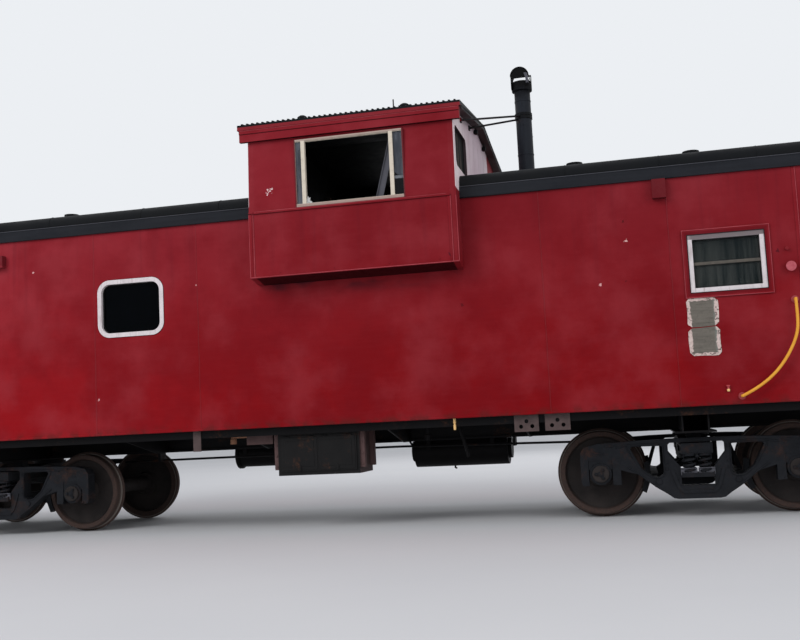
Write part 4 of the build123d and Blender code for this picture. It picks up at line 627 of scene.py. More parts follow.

# The side sheets: the aged red outside, with flecks where it has chipped, painted shade on faces that look
# down, and near black inside as painted shade.
red_paint, b = new_finish("red body paint", 0.45, 0, 0.06)
aged = b.use(aged_red)
shade = aged["Color"]
for place, size, chip in (
    ((-3.104, -1.42, 2.886), 0.012, (200, 150, 150)), ((-2.335, -1.42, 1.447), 0.01, (196, 140, 140)),
    ((3.288, -1.42, 2.68), 0.012, (206, 160, 156)), ((3.014, -1.42, 2.273), 0.012, (206, 150, 150)),
    ((3.266, -1.42, 2.292), 0.008, (90, 20, 26)), ((3.274, -1.42, 2.877), 0.01, (88, 22, 26)),
    ((1.656, -1.42, 2.178), 0.016, (96, 20, 26)), ((-1.178, -1.42, 2.602), 0.009, (190, 130, 130)),
    ((-0.241, -1.655, 3.474), 0.022, (226, 196, 196)), ((-0.262, -1.655, 3.452), 0.016, (220, 186, 190)),
    ((-0.225, -1.655, 3.492), 0.018, (216, 190, 190)), ((0.836, -1.66, 4.167), 0.014, (206, 120, 120)),
    ((4.66, -1.42, 2.47), 0.014, (84, 22, 30)), ((1.6, -1.655, 2.66), 0.014, (92, 24, 34)),
):
    shade = b.blend(b.use(spot, Place=place, Size=size)["Mask"], shade, chip)
# Painted shade: the inner faces of the side sheets are near black, for the unlit inside.
inward = b.facing[1] * b.maths("SIGN", b.y)
inner = inward.ease(-0.4, -0.6) * abs(b.y).ease(1.2, 1.25)
# Painted shade: faces that look down, such as the soffits, are darkened.
underside_shade = b.blend(b.facing[2].ease(-0.5, -0.8, 0, 0.88), shade, (30, 9, 12))
b.paint(b.blend(inner, underside_shade, (22, 24, 25)), aged["Roughness"], aged["Height"], 0.0016)
dress(red_paint, "side_near", "side_far", "door_a", "door_b", "cupola_side_near", "cupola_side_far",
      "cupola_fascias", "door_hinges", "end_wall_a", "end_wall_b")

# Small fittings on the side: the lashing plates and bracket are bare grey-brown below the sheet,
# the boxes under the roof are red, darkened with painted shade under the eaves, and the disc by the corner
# has faded to pink.
fitting_paint, b = new_finish("side fitting paint", 0.6, 0, 0.2)
disc = abs(b.x).ease(4.69, 4.7) * (b.y.ease(-1.44, -1.445) * b.z.ease(2.4, 2.38))
pink = b.blend(b.noise(40, 4), (150, 54, 66), (196, 104, 112))
# Painted shade: fittings above 2.95 m, under the eaves, are darkened towards deep red.
upper = b.blend(b.z.ease(2.95, 3, 0, 0.6), b.use(aged_red)["Color"], (76, 10, 18))
bare = b.blend(b.noise(14, 6), (60, 50, 50), (100, 84, 82))
b.paint(b.blend(b.z.ease(1.059, 1.063), bare, b.blend(disc, upper, pink)),
        b.noise(30, 3).ease(0.3, 0.7, 0.5, 0.75), b.noise(90, 4), 0.0012)
dress(fitting_paint, "side_fittings")

# Raised edges and welds carry a painted highlight, pale and chalky where their paint looks worn: faint on the
# plate joints, plain elsewhere.
edge_highlight_paint, b = new_finish("worn red edge paint and painted highlight", 0.5, 0, 0.2)
chalky_highlight = b.blend(b.noise(14, 4), (148, 54, 62), (182, 86, 94))
plain = b.maths("MAXIMUM", abs(b.y).ease(1.6, 1.62, 0.08, 0.9), abs(b.x).ease(3.75, 3.78, 0.08, 0.95))
worn = plain * b.noise(2.5, 3, at=b.move((7, 1, 3))).ease(0.3, 0.6, 0.5, 1)
b.paint(b.blend(worn, b.use(aged_red)["Color"], chalky_highlight), worn.ease(0, 1, 0.42, 0.7), b.noise(200, 3), 0.0005)

# Weld beads of the plate joints, the corner and foot strips, and beads round the square windows and down the
# corners that carry painted highlight lines.
seams, strips, beads = Shape(), Shape(), Shape()
for x in (-2.365, -1.165, 2.47, 3.69):
    seams.rod([(x + 0.0012 * math.sin(37 * k), -SIDE_Y - 0.0005, 1.062 + k * 0.0465) for k in range(48)],
              0.005, 8, flat=0.5)
for s in (-1, 1):
    x = s * CORNER_X
    strips.bar((x - 0.017, -SIDE_Y - 0.0045, 1.064), (x + 0.017, -SIDE_Y + 0.001, 3.249), 0.002)
    beads.rod([(s * WINDOW_X + dx, -1.4345, z) for dx, z in (
        (-0.3955, 2.0815), (0.3955, 2.0815), (0.3955, 2.7265), (-0.3955, 2.7265))], 0.0055, 8, True)
    beads.rod([(x + 0.016, -SIDE_Y - 0.0045, 1.066 + 0.1091 * k) for k in range(21)], 0.0028, 6)
strips.bar((-4.948, -SIDE_Y - 0.003, 1.061), (4.948, -SIDE_Y + 0.001, 1.083), 0.001)
seams.mirror(1).make("side_weld_seams", edge_highlight_paint, "red_paint", 60)
strips.mirror(1).make("side_edge_strips", red_paint, "red_paint", 60)
beads.mirror(1).make("side_edge_highlight_beads", edge_highlight_paint, "red_paint")

# The bay's edge angles with their screws and beads, and beads over and under its fascia that carry painted
# highlight lines.
bay, lips = Shape(), Shape()
for x0, x1, z0, z1, proud in (
    (1.606, 1.636, 2.584, 3.246, 0.005), (1.683, 1.696, 2.584, 3.33, 0.004),
    (-0.472, -0.442, 2.584, 3.246, 0.004), (-0.472, 1.696, 2.58, 2.596, 0.005),
    (-0.472, -0.409, 3.252, 3.264, 0.014),
):
    bay.bar((x0, BAY_Y - proud, z0), (x1, BAY_Y + 0.001, z1), 0.002)
bay.rod([(-0.44 + k * 0.05, -1.66, 3.2475) for k in range(42)], 0.0045, 8)
for x in (-0.15, 0.42, 0.99, 1.5):
    bay.bolt((x, BAY_Y + 0.0005, 2.625), (0, -1, 0), 0.006, False)
for x in (-0.471, -0.424, 1.637, 1.6935):
    lips.rod([(x, BAY_Y - 0.003, 2.588 + 0.0728 * k) for k in range(10)], 0.0038, 6)
for x, pitch, count, y, z, radius in (
    (-0.47, 0.1803, 13, BAY_Y - 0.005, 2.589, 0.0042), (-0.405, 0.1, 21, -1.6605, 3.2665, 0.0038),
    (-0.54, 0.11, 22, -1.6635, 4.129, 0.003),
):
    lips.rod([(x + pitch * k, y, z) for k in range(count)], radius, 6)
bay.mirror(1).make("bay_edge_angles", red_paint, "red_paint", 60)
lips.mirror(1).make("bay_edge_highlight_beads", edge_highlight_paint, "red_paint")

# The worn plate under the window: two grey panels in an old white border that flakes off.
plate_paint, b = new_finish("worn label plate", 0.8, 0, 0.15)
torn = b.noise(22, 5) * 0.05
border = b.maths("MAXIMUM", (abs(b.x - 3.9455) + torn).ease(0.132, 0.136),
                 (abs(b.z - 1.8035) + torn).ease(0.268, 0.273))
ripple = b.noise(3, 4, 0.6, at=b.stretch((2, 1, 26)))
panel = b.blend(ripple, (84, 80, 74), (124, 118, 110))
flake = b.noise(48, 6, 0.7).ease(0.54, 0.6)
white = b.blend(b.noise(30, 4), (176, 150, 146), (222, 206, 198))
green = b.blend(b.x.ease(4.03, 4.07), panel, (128, 134, 128))
b.paint(b.blend(border, green, b.blend(flake, white, (78, 66, 62))), ripple.ease(0.3, 0.7, 0.7, 0.9),
        ripple * 0.8 + flake * -0.6, 0.002)
label = Shape()
for z0, z1 in ((1.529, 1.796), (1.806, 2.078)):
    outline = []
    for k in range(48):
        edge, t = divmod(k, 12)
        t = (t + 0.5) / 12
        u, v = ((t, 0), (1, t), (1 - t, 1), (0, 1 - t))[edge]
        push = 0.0035 * math.sin(k * 12.9898 + z0 * 78.2) + (0.01 if t < 0.1 or t > 0.9 else 0)
        outline.append((3.802 + 0.287 * u + push * (1 if u < 0.5 else -1), -SIDE_Y - 0.0035,
                        z0 + (z1 - z0) * v + push * (1 if v < 0.5 else -1)))
    label.sheet(outline, (0, 0.004, 0))
    label.bar((3.832, -SIDE_Y - 0.005, z0 + 0.032), (4.058, -SIDE_Y - 0.003, z1 - 0.032), 0.001)
label.make("label_plate", plate_paint, "bare_steel", 30)

# A small drain spout at the foot of the side, pink above with a yellow tip, and the sill's cream cap.
tip_paint, b = new_finish("drain tip paint", 0.5)
b.paint(b.blend(b.z.ease(1.205, 1.21), (240, 196, 132), (176, 70, 74)),
        b.noise(80, 3).ease(0.3, 0.7, 0.4, 0.6), b.noise(200, 3), 0.0008)
spout, cap = Shape(), Shape()
spout.turned([(0, 0), (0.013, 0.004), (0.014, 0.022), (0.01, 0.026), (0.01, 0.044), (0.016, 0.048),
              (0.016, 0.058), (0, 0.06)], (4.121, -SIDE_Y - 0.017, 1.182), UP, 18)
spout.bar((4.104, -SIDE_Y - 0.02, 1.236), (4.138, -SIDE_Y + 0.001, 1.244), 0.002)
spout.make("side_drain_spout", tip_paint, "yellow_paint")
cap.turned([(0, 0), (0.011, 0.003), (0.013, 0.016), (0.013, 0.052), (0.009, 0.056), (0.009, 0.075),
            (0, 0.075)], (1.506, -1.36, 0.945), UP, 18)
cap.bar((1.494, -1.372, 1.012), (1.518, -1.34, 1.062), 0.002)
cap.make("sill_drain_cap", tip_paint, "yellow_paint")

# ------------------------ Windows
# Extruded aluminium frames once painted white, now chalky and stained, with black rubber
# glazing strips. The glass is old, dusty and dark from the unlit cabin behind it.
frame_white, b = new_finish("window frame paint", 0.5)
stain = b.use(patches, Scale=9, Cover=0.4, Edge=0.16)
streak = b.noise(1.5, 4, at=b.stretch((30, 30, 3)))
pale = b.blend(stain["Mask"] * 0.5, (214, 206, 208), (172, 160, 162))
aged = b.blend(streak.ease(0.52, 0.75, 0, 0.5), pale, (150, 132, 132))
# Painted shade and grime: the sash bar, set back behind the frame, is dull grey-brown.
sash = abs(b.z - WINDOW_Z).ease(0.02, 0.016) * abs(abs(b.x) - WINDOW_X).ease(0.31, 0.3)
dull = b.blend(b.noise(26, 5), (62, 60, 56), (104, 97, 89))
# Painted shadow: the head rail of each square window, under its surround, is greyed.
shadow = b.z.ease(2.634, 2.64) * b.z.ease(2.7, 2.69)
head = b.blend(shadow * abs(b.x).ease(3.8, 3.9), aged, (116, 106, 108))
b.paint(b.blend(sash, head, dull), stain["Mask"].ease(0, 1, 0.42, 0.7), stain["Grain"], 0.0006)
dress(frame_white, "window_frames")

# Glass: dust film in patches, thicker along the lower edge where rain has left it.
old_glass, b = new_finish("old window glass", 0.06, 0, 0.12)
b.shader["Transmission Weight"].default_value = 0.7
b.shader["IOR"].default_value = 1.12
film = b.use(patches, Scale=5, Cover=0.38, Edge=0.25)["Mask"]
streaks = b.noise(1.6, 6, 0.6, at=b.stretch((16, 16, 0.8))).ease(0.34, 0.68) * b.z.ease(2.7, 2.36, 0.45, 1)
square = b.blend(streaks, (50, 60, 62), (96, 101, 99))
rounded = b.blend(film, (5, 9, 14), (12, 17, 23))
b.paint(b.blend(abs(b.x).ease(3, 3.1), rounded, square), film.ease(0, 1, 0.02, 0.16))
dress(old_glass, "window_panes", "door_pane_a", "door_pane_b")

rubber, b = new_finish("glazing rubber", 0.65)
b.paint(b.blend(b.noise(35, 5), (14, 14, 15), (40, 38, 38)), b.noise(60, 3).ease(0.3, 0.7, 0.55, 0.8),
        b.noise(150, 3), 0.0008)


def rounded_outline(u0, u1, z0, z1, corner, steps):
    """The rounded corners of a window, as pairs across and up, from its upper right one."""
    centres = ((u1 - corner, z1 - corner), (u0 + corner, z1 - corner),
               (u0 + corner, z0 + corner), (u1 - corner, z0 + corner))
    return [(cu + corner * math.cos(a), cz + corner * math.sin(a)) for turn, (cu, cz) in enumerate(centres)
            for a in (math.radians(90 * (turn + k / steps)) for k in range(steps + 1))]


def window_ring(shape, y, radius, *outline):
    """A strip that follows a window's edge on a side wall."""
    shape.rod([(u, y, w) for u, w in rounded_outline(*outline, 8)], radius, 8, closed=True)


# Rubber gaskets against the glass, and black sealant between the frames and the sheet.
PANE_Y = -1.386
gaskets = Shape()
window_ring(gaskets, PANE_Y, 0.009, -2.277, -1.603, 2.155, 2.681, 0.094)
window_ring(gaskets, -1.4225, 0.004, -2.325, -1.555, 2.107, 2.729, 0.14)
for middle in (-WINDOW_X, WINDOW_X):
    x0, x1 = middle - 0.304, middle + 0.304
    window_ring(gaskets, PANE_Y, 0.009, x0, x1, 2.173, 2.635, 0.006)
    window_ring(gaskets, -1.4345, 0.0035, x0 - 0.046, x1 + 0.046, 2.127, 2.681, 0.004)
gaskets.mirror(1).make("window_gaskets", rubber, "frame_paint")

# Insect screens stand behind the square windows: grey-green wire cloth in thin metal frames.
screen_wire, b = new_finish("screen wire", 0.7, 0.2, 0.15)
thread = b.maths("MAXIMUM", *(b.maths("SINE", way * 2400).ease(0.3, 0.8) for way in (b.x, b.z)))
hang = b.noise(1, 4, 0.6, at=b.stretch((16, 1, 0.9)))
cloth = b.blend(hang.ease(0.35, 0.7), (34, 42, 42), (84, 90, 86))
b.paint(b.blend(thread, b.blend(0.45, cloth, (14, 16, 17)), cloth), hang.ease(0.3, 0.7, 0.6, 0.85),
        thread + hang * 6, 0.0006)
SCREEN_LOW, SCREEN_HIGH = 2.141, 2.667
screens = Shape()
for middle in (-WINDOW_X, WINDOW_X):
    x0, x1 = middle - 0.336, middle + 0.336
    wave = [(x0 + 0.0112 * k, -1.3485 + 0.0022 * math.sin(k * 1.05) + 0.001 * math.sin(k * 2.7))
            for k in range(61)]
    for (xa, ya), (xb, yb) in zip(wave, wave[1:]):
        screens.take([(xa, ya, SCREEN_LOW), (xb, yb, SCREEN_LOW),
                      (xb, yb, SCREEN_HIGH), (xa, ya, SCREEN_HIGH)], [[0, 1, 2, 3]])
    for z in (SCREEN_LOW, SCREEN_HIGH - 0.012):
        screens.bar((x0, -1.357, z), (x1, -1.343, z + 0.012), 0.002)
    for x in (x0, x1 - 0.012):
        screens.bar((x, -1.357, SCREEN_LOW), (x + 0.012, -1.343, SCREEN_HIGH), 0.002)
screens.mirror(1).make("window_screens", screen_wire, "bare_steel", 60)

# A white enamel latch and its knob on the sill of each square window.
latch_white, b = new_finish("latch enamel", 0.4)
b.paint(b.blend(b.noise(50, 4), (150, 152, 152), (206, 206, 204)), b.noise(90, 3).ease(0.3, 0.7, 0.3, 0.6),
        b.noise(120, 3), 0.0006)
latches = Shape()
for x in (-4.312, 4.312):
    plate = ((-0.038, 2.173), (0.038, 2.173), (0.034, 2.19), (0.018, 2.206), (-0.018, 2.206), (-0.034, 2.19))
    latches.sheet([(x + dx, -1.374, z) for dx, z in plate], (0, 0.012, 0))
    latches.turned([(0, 0), (0.01, 0), (0.007, 0.014), (0.012, 0.022), (0.01, 0.032), (0, 0.036)],
                   (x, -1.368, 2.204), UP, 16)
latches.mirror(1).make("window_latches", latch_white, "frame_paint")

# ------------------------ Cupola
# Steel box with its own gable roof. Its end walls are pale primer round the windows, pink from
# red overspray; its side windows slide in cream frames, and the nearest stands open.
CUPOLA_X = 0.6125
pale_wall, b = new_finish("cupola end wall", 0.55, 0, 0.12)
from_middle = abs(b.x - CUPOLA_X)
flank = abs(b.facing[0])
outer = from_middle.ease(1.079, 1.081) * flank.ease(0.4, 0.6)
edge = from_middle.ease(1.0785, 1.08) * abs(b.facing[1]).ease(0.4, 0.6)
above = (b.z + b.noise(14, 3) * 0.03).ease(3.335, 3.35)
nearer = (b.y + b.noise(6, 3) * 0.06).ease(0.8, 0.83, 1, 0)
bare = above * nearer * b.maths("MAXIMUM", outer, edge)
stain = b.use(patches, Scale=1.9, Cover=0.5, Edge=0.25)
rain = b.use(runs, Pitch=16, Top=4.15, Length=0.9)["Mask"]
chalky = b.blend(abs(b.y).ease(1.45, 0.1), (228, 214, 216), (216, 196, 206))
blotched = b.blend(stain["Mask"] * 0.4, chalky, (186, 154, 164))
washed = b.blend(rain * 0.5, blotched, (124, 88, 98))
# Painted shade and grime: the window reveals in the upper end walls are dark grey instead of red.
inner_edge = from_middle.ease(1.079, 1.077) * abs(b.y).ease(1.6, 1.55)
reveal_shade = flank.ease(0.6, 0.4) * (b.z.ease(3.5, 3.52) * inner_edge)
around = b.blend(reveal_shade, b.use(aged_red)["Color"], (74, 62, 66))
# Painted shade: the inner faces of the end walls are near black, for the unlit cupola.
inside_shade = from_middle.ease(1.045, 1.035) * flank.ease(0.4, 0.6)
b.paint(b.blend(inside_shade, b.blend(bare, around, washed), (16, 17, 19)), stain["Mask"].ease(0, 1, 0.48, 0.68),
        b.noise(90, 4) + stain["Grain"] * 0.8, 0.0008)
dress(pale_wall, "cupola_end_a", "cupola_end_b")

# The cupola's glass is filmed with dirt: grey where it slides in the sides, with a tide mark
# low down; in the ends it is nearly black as painted shade of the dark cupola behind, with brown runs.
dirty_glass, b = new_finish("dirty cupola glass", 0.3, 0, 0.12)
b.shader["Transmission Weight"].default_value = 0.25
b.shader["IOR"].default_value = 1.35
ends = abs(b.facing[0]).ease(0.4, 0.6)
film = b.noise(1.2, 5, 0.65, at=b.stretch((9, 9, 1.6)))
grey = b.blend(film.ease(0.3, 0.7), (62, 66, 74), (104, 108, 116))
tide = (b.z + b.noise(9, 2) * 0.1).ease(3.56, 3.575, 1, 0)
lower = b.blend(abs(b.z - 3.49).ease(0.018, 0.012), (18, 20, 23), (120, 124, 130))
side_glass = b.blend(tide * b.x.ease(1.06, 1.07), grey, lower)
brown = b.noise(1, 5, 0.7, at=b.stretch((10, 26, 1.8))).ease(0.55, 0.72)
end_glass_shade = b.blend(brown, (10, 10, 11), (116, 94, 84))
b.paint(b.blend(ends, side_glass, end_glass_shade), b.maths("MAXIMUM", film.ease(0.3, 0.7, 0.18, 0.4), ends * 0.75))
dress(dirty_glass, "cupola_panes")

# Boards stand behind the glass of the end windows, near black as painted shade, and stained brown where the
# rain gets in.
board, b = new_finish("window board", 0.8)
drips = b.noise(1, 5, 0.7, at=b.stretch((10, 22, 1.6)))
b.paint(b.blend(drips.ease(0.5, 0.72), (12, 12, 13), (120, 96, 84)), drips.ease(0.3, 0.7, 0.7, 0.95), drips)
boards = Shape()
for x, k in itertools.product((1.64, -0.424), range(5)):
    y = -1.519 + k * 0.14
    boards.bar((x, y, 3.584), (x + 0.009, y + 0.1385, 3.996), 0.002)
boards.mirror(1).make("cupola_window_boards", board, "cabin_paint")

# The sliding-window frames: cream head, sill and stiles between jambs that were sprayed red.
frame_cream, b = new_finish("cupola frame paint", 0.5)
stain = b.use(patches, Scale=12, Cover=0.36, Edge=0.14)
cream = b.blend(stain["Mask"] * 0.5, (206, 196, 180), (158, 146, 132))
low = b.maths("MAXIMUM", b.z.ease(3.3, 3.312, 0.85, 0), b.z.ease(3.9605, 3.9625, 0, 0.7))
jamb = abs(b.x - CUPOLA_X).ease(0.56, 0.562)
b.paint(b.blend(jamb, b.blend(low, cream, (150, 124, 118)), (98, 30, 36)),
        stain["Mask"].ease(0, 1, 0.42, 0.7), stain["Grain"], 0.0006)
dress(frame_cream, "cupola_frames")

# The tracks that the side windows slide in, their stops, and the cream lip of the sill.
tracks = Shape()
for (z0, z1), y in itertools.product(((3.3062, 3.3102), (3.9545, 3.9585)), (-1.64, -1.622, -1.606)):
    tracks.bar((0.055, y, z0), (1.17, y + 0.004, z1), 0.001)
for x in (0.118, 1.072):
    tracks.bar((x - 0.004, -1.6435, 3.31), (x + 0.004, -1.6395, 3.96), 0.001)
tracks.bar((0.03, -1.6535, 3.276), (1.195, -1.6435, 3.2825), 0.001)
tracks.mirror(1).make("cupola_window_tracks", frame_cream, "frame_paint")

# A broken white sash catch on the sill, and the flat steel prop that leans behind the open window.
catch = Shape()
broken = ((0.148, 3.306), (0.214, 3.306), (0.206, 3.33), (0.186, 3.336), (0.19, 3.372), (0.176, 3.362),
          (0.166, 3.388), (0.154, 3.35))
catch.sheet([(x, -1.628, z) for x, z in broken], (0, 0.014, 0))
catch.turned([(0, 0), (0.02, 0.002), (0.022, 0.014), (0, 0.018)], (0.166, -1.621, 3.305), UP, 16)
catch.make("cupola_sash_catch", latch_white, "frame_paint")

PROP_Y = -1.562
prop = Shape()
prop.sheet([(x, PROP_Y, z) for x, z in ((0.846, 3.24), (0.918, 3.24), (1.1, 3.93), (1.036, 3.945))],
           (0, 0.007, 0))
prop.sheet([(x, PROP_Y, z) for x, z in ((0.846, 3.24), (0.853, 3.24), (1.043, 3.945), (1.036, 3.945))],
           (0, -0.016, 0))
for x, z in ((0.893, 3.3), (1.06, 3.86)):
    prop.bolt((x, PROP_Y, z), (0, -1, 0), 0.01)
prop.bar((0.84, -1.596, 3.236), (0.925, -1.555, 3.246), 0.002)
prop.make("cupola_window_prop", dull_steel, "bare_steel")

# ------------------------ Roof and smoke stack
# Welded roof sheets under black coating, with lap seams and grey, weathered fascias. The stack is
# a plain steel pipe with a barrel hood, held by two rods that are clamped round it.
LEDGE_Y = 1.4475
ROOF_PARTS = ((-5.588, -0.472), (1.697, 5.588))
roof_black, b = new_finish("black roof coating", 0.7, 0, 0.2)
fade = b.use(patches, Scale=1.3, Cover=0.42, Edge=0.25)["Mask"]
dirt = b.use(dust, Splash=0.01, Amount=0.14)["Mask"]
coat = b.blend(fade, (6, 8, 10), (16, 18, 22))
fascia = b.blend(b.noise(3, 5, at=b.stretch((0.5, 1, 8))), (17, 19, 23), (36, 38, 44))
both = b.blend(b.z.ease(3.365, 3.368, 1, 0), coat, fascia)
eave = b.z.ease(4.168, 4.171, 1, 0) * abs(b.facing[1]).ease(0.7, 0.8)
sprayed = b.blend(eave * b.z.ease(4.12, 4.13), both, b.use(aged_red)["Color"])
# The undersides beyond the cupola's ends: red overspray, darkened to deep maroon as painted shade.
beyond = abs(b.x - CUPOLA_X).ease(1.083, 1.086) * b.z.ease(3.99, 4)
oversprayed_and_shaded = b.blend(b.facing[2].ease(-0.5, -0.8) * beyond * 0.75, sprayed, (62, 14, 20))
b.paint(b.blend(dirt, oversprayed_and_shaded, (64, 64, 66)), fade.ease(0, 1, 0.5, 0.8),
        b.noise(70, 5, 0.7) + b.noise(3, 2) * 2, 0.002)
dress(roof_black, "roof_a", "roof_b", "cupola_roof", "roof_fittings")

# Lap seams that follow the roof's skin from shoulder to shoulder, the edges of its ledges, and grey strips on
# the fascias' top edges that stand in for a highlight there.
shoulder = [math.radians(85.7 * k / 7) for k in range(8)]
bend = [(-1.314 - 0.115 * math.cos(a), 3.3893 + 0.115 * math.sin(a)) for a in shoulder]
near_half = [(-1.429, 3.371), *bend, (-0.9, 3.5356), (-0.45, 3.5693)]
across = near_half + [(0, 3.603)] + [(-y, z) for y, z in reversed(near_half)]
laps, ledge = Shape(), Shape()
for x in (-5.1, -4, -2.9, -1.8, -0.9, 2.75, 3.65, 4.55, 5.25):
    laps.rod([(x, y, z) for y, z in across], 0.0045, 8)
for (x0, x1), y in itertools.product(ROOF_PARTS, (-LEDGE_Y, LEDGE_Y)):
    for z0, z1 in ((3.356, 3.3695), (3.2515, 3.26)):
        laps.bar((x0, y - 0.001, z0), (x1, y + 0.001, z1), 0.0008)
    # Painted highlight: a grey steel strip along each fascia's top edge.
    ledge.bar((x0, y - 0.0012, 3.3655), (x1, y + 0.0012, 3.3695), 0.0008)
for x in (-1.9, 3):
    laps.boss((x, -0.55, 3.56), UP, 0.03, 0.03, 0.012, 0.016, 16)
laps.make("roof_laps", roof_black, "roof_paint", 60)

# The cupola's eaves: screws with washers through the ribs, and trim strips under the gable ends.
eaves = Shape()
for k in range(20):
    eaves.boss((-0.48 + k * 0.115, -1.64, 4.15), (0, -0.16, 1), 0.008, 0.006, 0.003, 0.004, 8)
gable = ((-1.655, 4.142), (-0.8, 4.268), (0, 4.385), (0.8, 4.268), (1.655, 4.142))
for x in (1.7895, -0.5645):
    eaves.rod([(x, y, z) for y, z in gable], 0.0042, 8)
for y, z in ((-0.186, 4.262), (0.42, 4.22)):
    eaves.bar((1.7, y - 0.022, z - 0.026), (1.742, y + 0.022, z + 0.026), 0.005)
    eaves.rod([(1.694, y, z), (1.702, y, z)], 0.016, 12)
    eaves.rod([(1.721, y, z + 0.02), (1.721, y, z + 0.06)], 0.006, 8)
for x in (-0.06, 1.085):
    eaves.turned([(0.046, -0.04), (0.054, -0.004), (0.054, 0.004), (0.046, 0.014), (0.03, 0.024),
                  (0.012, 0.029), (0, 0.03)], (x, -1, 4.405), UP, 20)
eaves.make("cupola_eave_fittings", roof_black, "roof_paint")

# The stack's coating, burnt to soot and scale towards the hood.
STACK_X = 2.25
stack_black, b = new_finish("stack coating", 0.6, 0.1, 0.25)
soot = (b.z + b.noise(8, 4) * 0.3).ease(4.7, 4.95)
burnt = b.use(rust, Scale=8, Cover=0.3)
skin = b.blend(b.noise(5, 5, at=b.stretch((3, 3, 0.6))), (17, 20, 26), (38, 42, 50))
dull = b.blend(burnt["Mask"] * 0.3, skin, burnt["Color"])
b.paint(b.blend(soot, dull, (12, 12, 13)), soot.ease(0, 1, 0.5, 0.85), b.noise(130, 4) + burnt["Height"])
dress(stack_black, "stack")

# Bands and the long weld of the pipe, the bolted flashing, and the lip of the hood's near end.
pipe = Shape()
for z in (3.985, 4.605):
    pipe.band((STACK_X, 0, z), UP, 0.0885, 0.0925, 0.009, 0.006, 40)
for z, angle in ((4.2, 0.4), (4.66, 2)):
    x, y = STACK_X + 0.0915 * math.cos(angle), 0.0915 * math.sin(angle)
    pipe.rod([(x, y, z - 0.004), (x, y, z + 0.004)], 0.006, 8)
pipe.rod([(STACK_X, -0.0895, 3.8 + 0.04 * k) for k in range(22)], 0.003, 6)
for a in (2 * math.pi * k / 12 for k in range(12)):
    pipe.bolt((STACK_X + 0.136 * math.cos(a), 0.136 * math.sin(a), 3.612), UP, 0.007)
pipe.turned([(0.105, 0), (0.158, 0), (0.158, 0.006), (0.105, 0.01)], (STACK_X, 0, 3.601), UP, 48)
for side in (-1, 1):
    pipe.bolt((STACK_X, side * 0.112, 4.34 + 0.02 * side), (0, side, 0), 0.008)
arch = [(0.097 * math.cos(a), 4.877 + 0.097 * math.sin(a)) for a in (math.radians(12 * k) for k in range(16))]
pipe.sheet([(STACK_X + dx, -0.122, z) for dx, z in [(0.097, 4.85), *arch, (-0.097, 4.85)]], (0, 0.003, 0))
pipe.make("stack_bands", stack_black, "roof_paint", 40)

# The hood's strap, bent down over both ends to a bolt; the grey ledge strips on the fascias are a painted
# highlight.
strap = Shape()
for side in (-1, 1):
    y, foot = side * 0.1265, side * 0.0765
    ear = ((0.04, 4.905), (0.074, 4.905), (0.088, 4.86), (0.092, 4.79), (0.062, 4.786), (0.058, 4.85))
    strap.sheet([(STACK_X + dx, y, z) for dx, z in ear], (0, side * 0.003, 0))
    strap.bolt((STACK_X + 0.076, y + side * 0.003, 4.8), (0, side, 0), 0.006, False)
    strap.bar((STACK_X + 0.062, min(y, foot), 4.789), (STACK_X + 0.092, max(y, foot), 4.793), 0.001)
strap.make("hood_strap", dull_steel, "bare_steel")
ledge.make("fascia_highlight_strips", dull_steel, "bare_steel")

# ------------------------ Ends, platforms and irons
# Checkered platform plates, with pipe railings, ladders and grab irons in safety yellow that has
# worn through in dark patches. Both ends have the same bolted irons, steps, doors and couplers,
# and only the right one has a hand brake.
AHEAD = (1, 0, 0)
DECK_Z = 1.2022
WALL_X = 4.949
yellow, b = new_finish("yellow iron paint", 0.45, 0, 0.3)
wear = b.use(patches, Scale=14, Cover=0.22, Edge=0.05)["Mask"]
tone = b.blend(b.noise(6, 4), (238, 176, 66), (216, 140, 34))
feet = abs(b.y).ease(1.436, 1.433) * abs(b.x).ease(4.95, 4.9)
b.paint(b.blend(wear, b.blend(feet, tone, (150, 58, 62)), (84, 54, 34)), wear.ease(0, 1, 0.38, 0.8),
        b.noise(120, 3) + wear * -0.8, 0.0006)
dress(yellow, "corner_rails", "railings", "ladders", "hand_brake")

deck, b = new_finish("platform plate", 0.7, 0.1)
rusty = b.use(rust, Scale=3, Cover=0.5)
ridges = b.maths("MAXIMUM", *(b.maths("SINE", way * 150) for way in (b.x + b.y, b.x - b.y))).ease(0.86, 0.97)
plate = b.blend(ridges * b.noise(2.2, 4).ease(0.4, 0.62), (34, 33, 34), (112, 106, 102))
b.paint(b.blend(rusty["Mask"] * 0.6, plate, rusty["Color"]), rusty["Mask"].ease(0, 1, 0.5, 0.9),
        ridges + rusty["Height"], 0.0025)
dress(deck, "platforms")

# Sockets of the railing posts, sleeves at the rail joints, and the bolted plates under the ladders.
RAIL_X = 5.704
irons = Shape()
for y in (0.4, 1.33):
    irons.turned([(0, 0), (0.034, 0), (0.034, 0.006), (0.021, 0.012), (0.021, 0.05), (0.0165, 0.055)],
                 (RAIL_X, y, DECK_Z), UP, 20)
    for dy in (-0.024, 0.024):
        irons.bolt((RAIL_X, y + dy, 1.208), UP, 0.006, False)
    for z in (1.502, 1.782):
        irons.band((RAIL_X, y, z), UP, 0.0165, 0.0195, 0.022, 0.018, 18)
for z, y in itertools.product((1.502, 1.782), (0.425, 1.305)):
    irons.band((RAIL_X, y, z), (0, 1, 0), 0.0135, 0.017, 0.014, 0.01, 16)
irons.mirror(1).mirror(0)
for s, y in itertools.product((-1, 1), (0.44, 0.84)):
    irons.bar((s * 5.662 - 0.028, y - 0.022, DECK_Z), (s * 5.662 + 0.028, y + 0.022, 1.21), 0.002)
    irons.bolt((s * 5.672, y, 1.212), UP, 0.007, False)
irons.make("railing_joints", yellow, "yellow_paint")

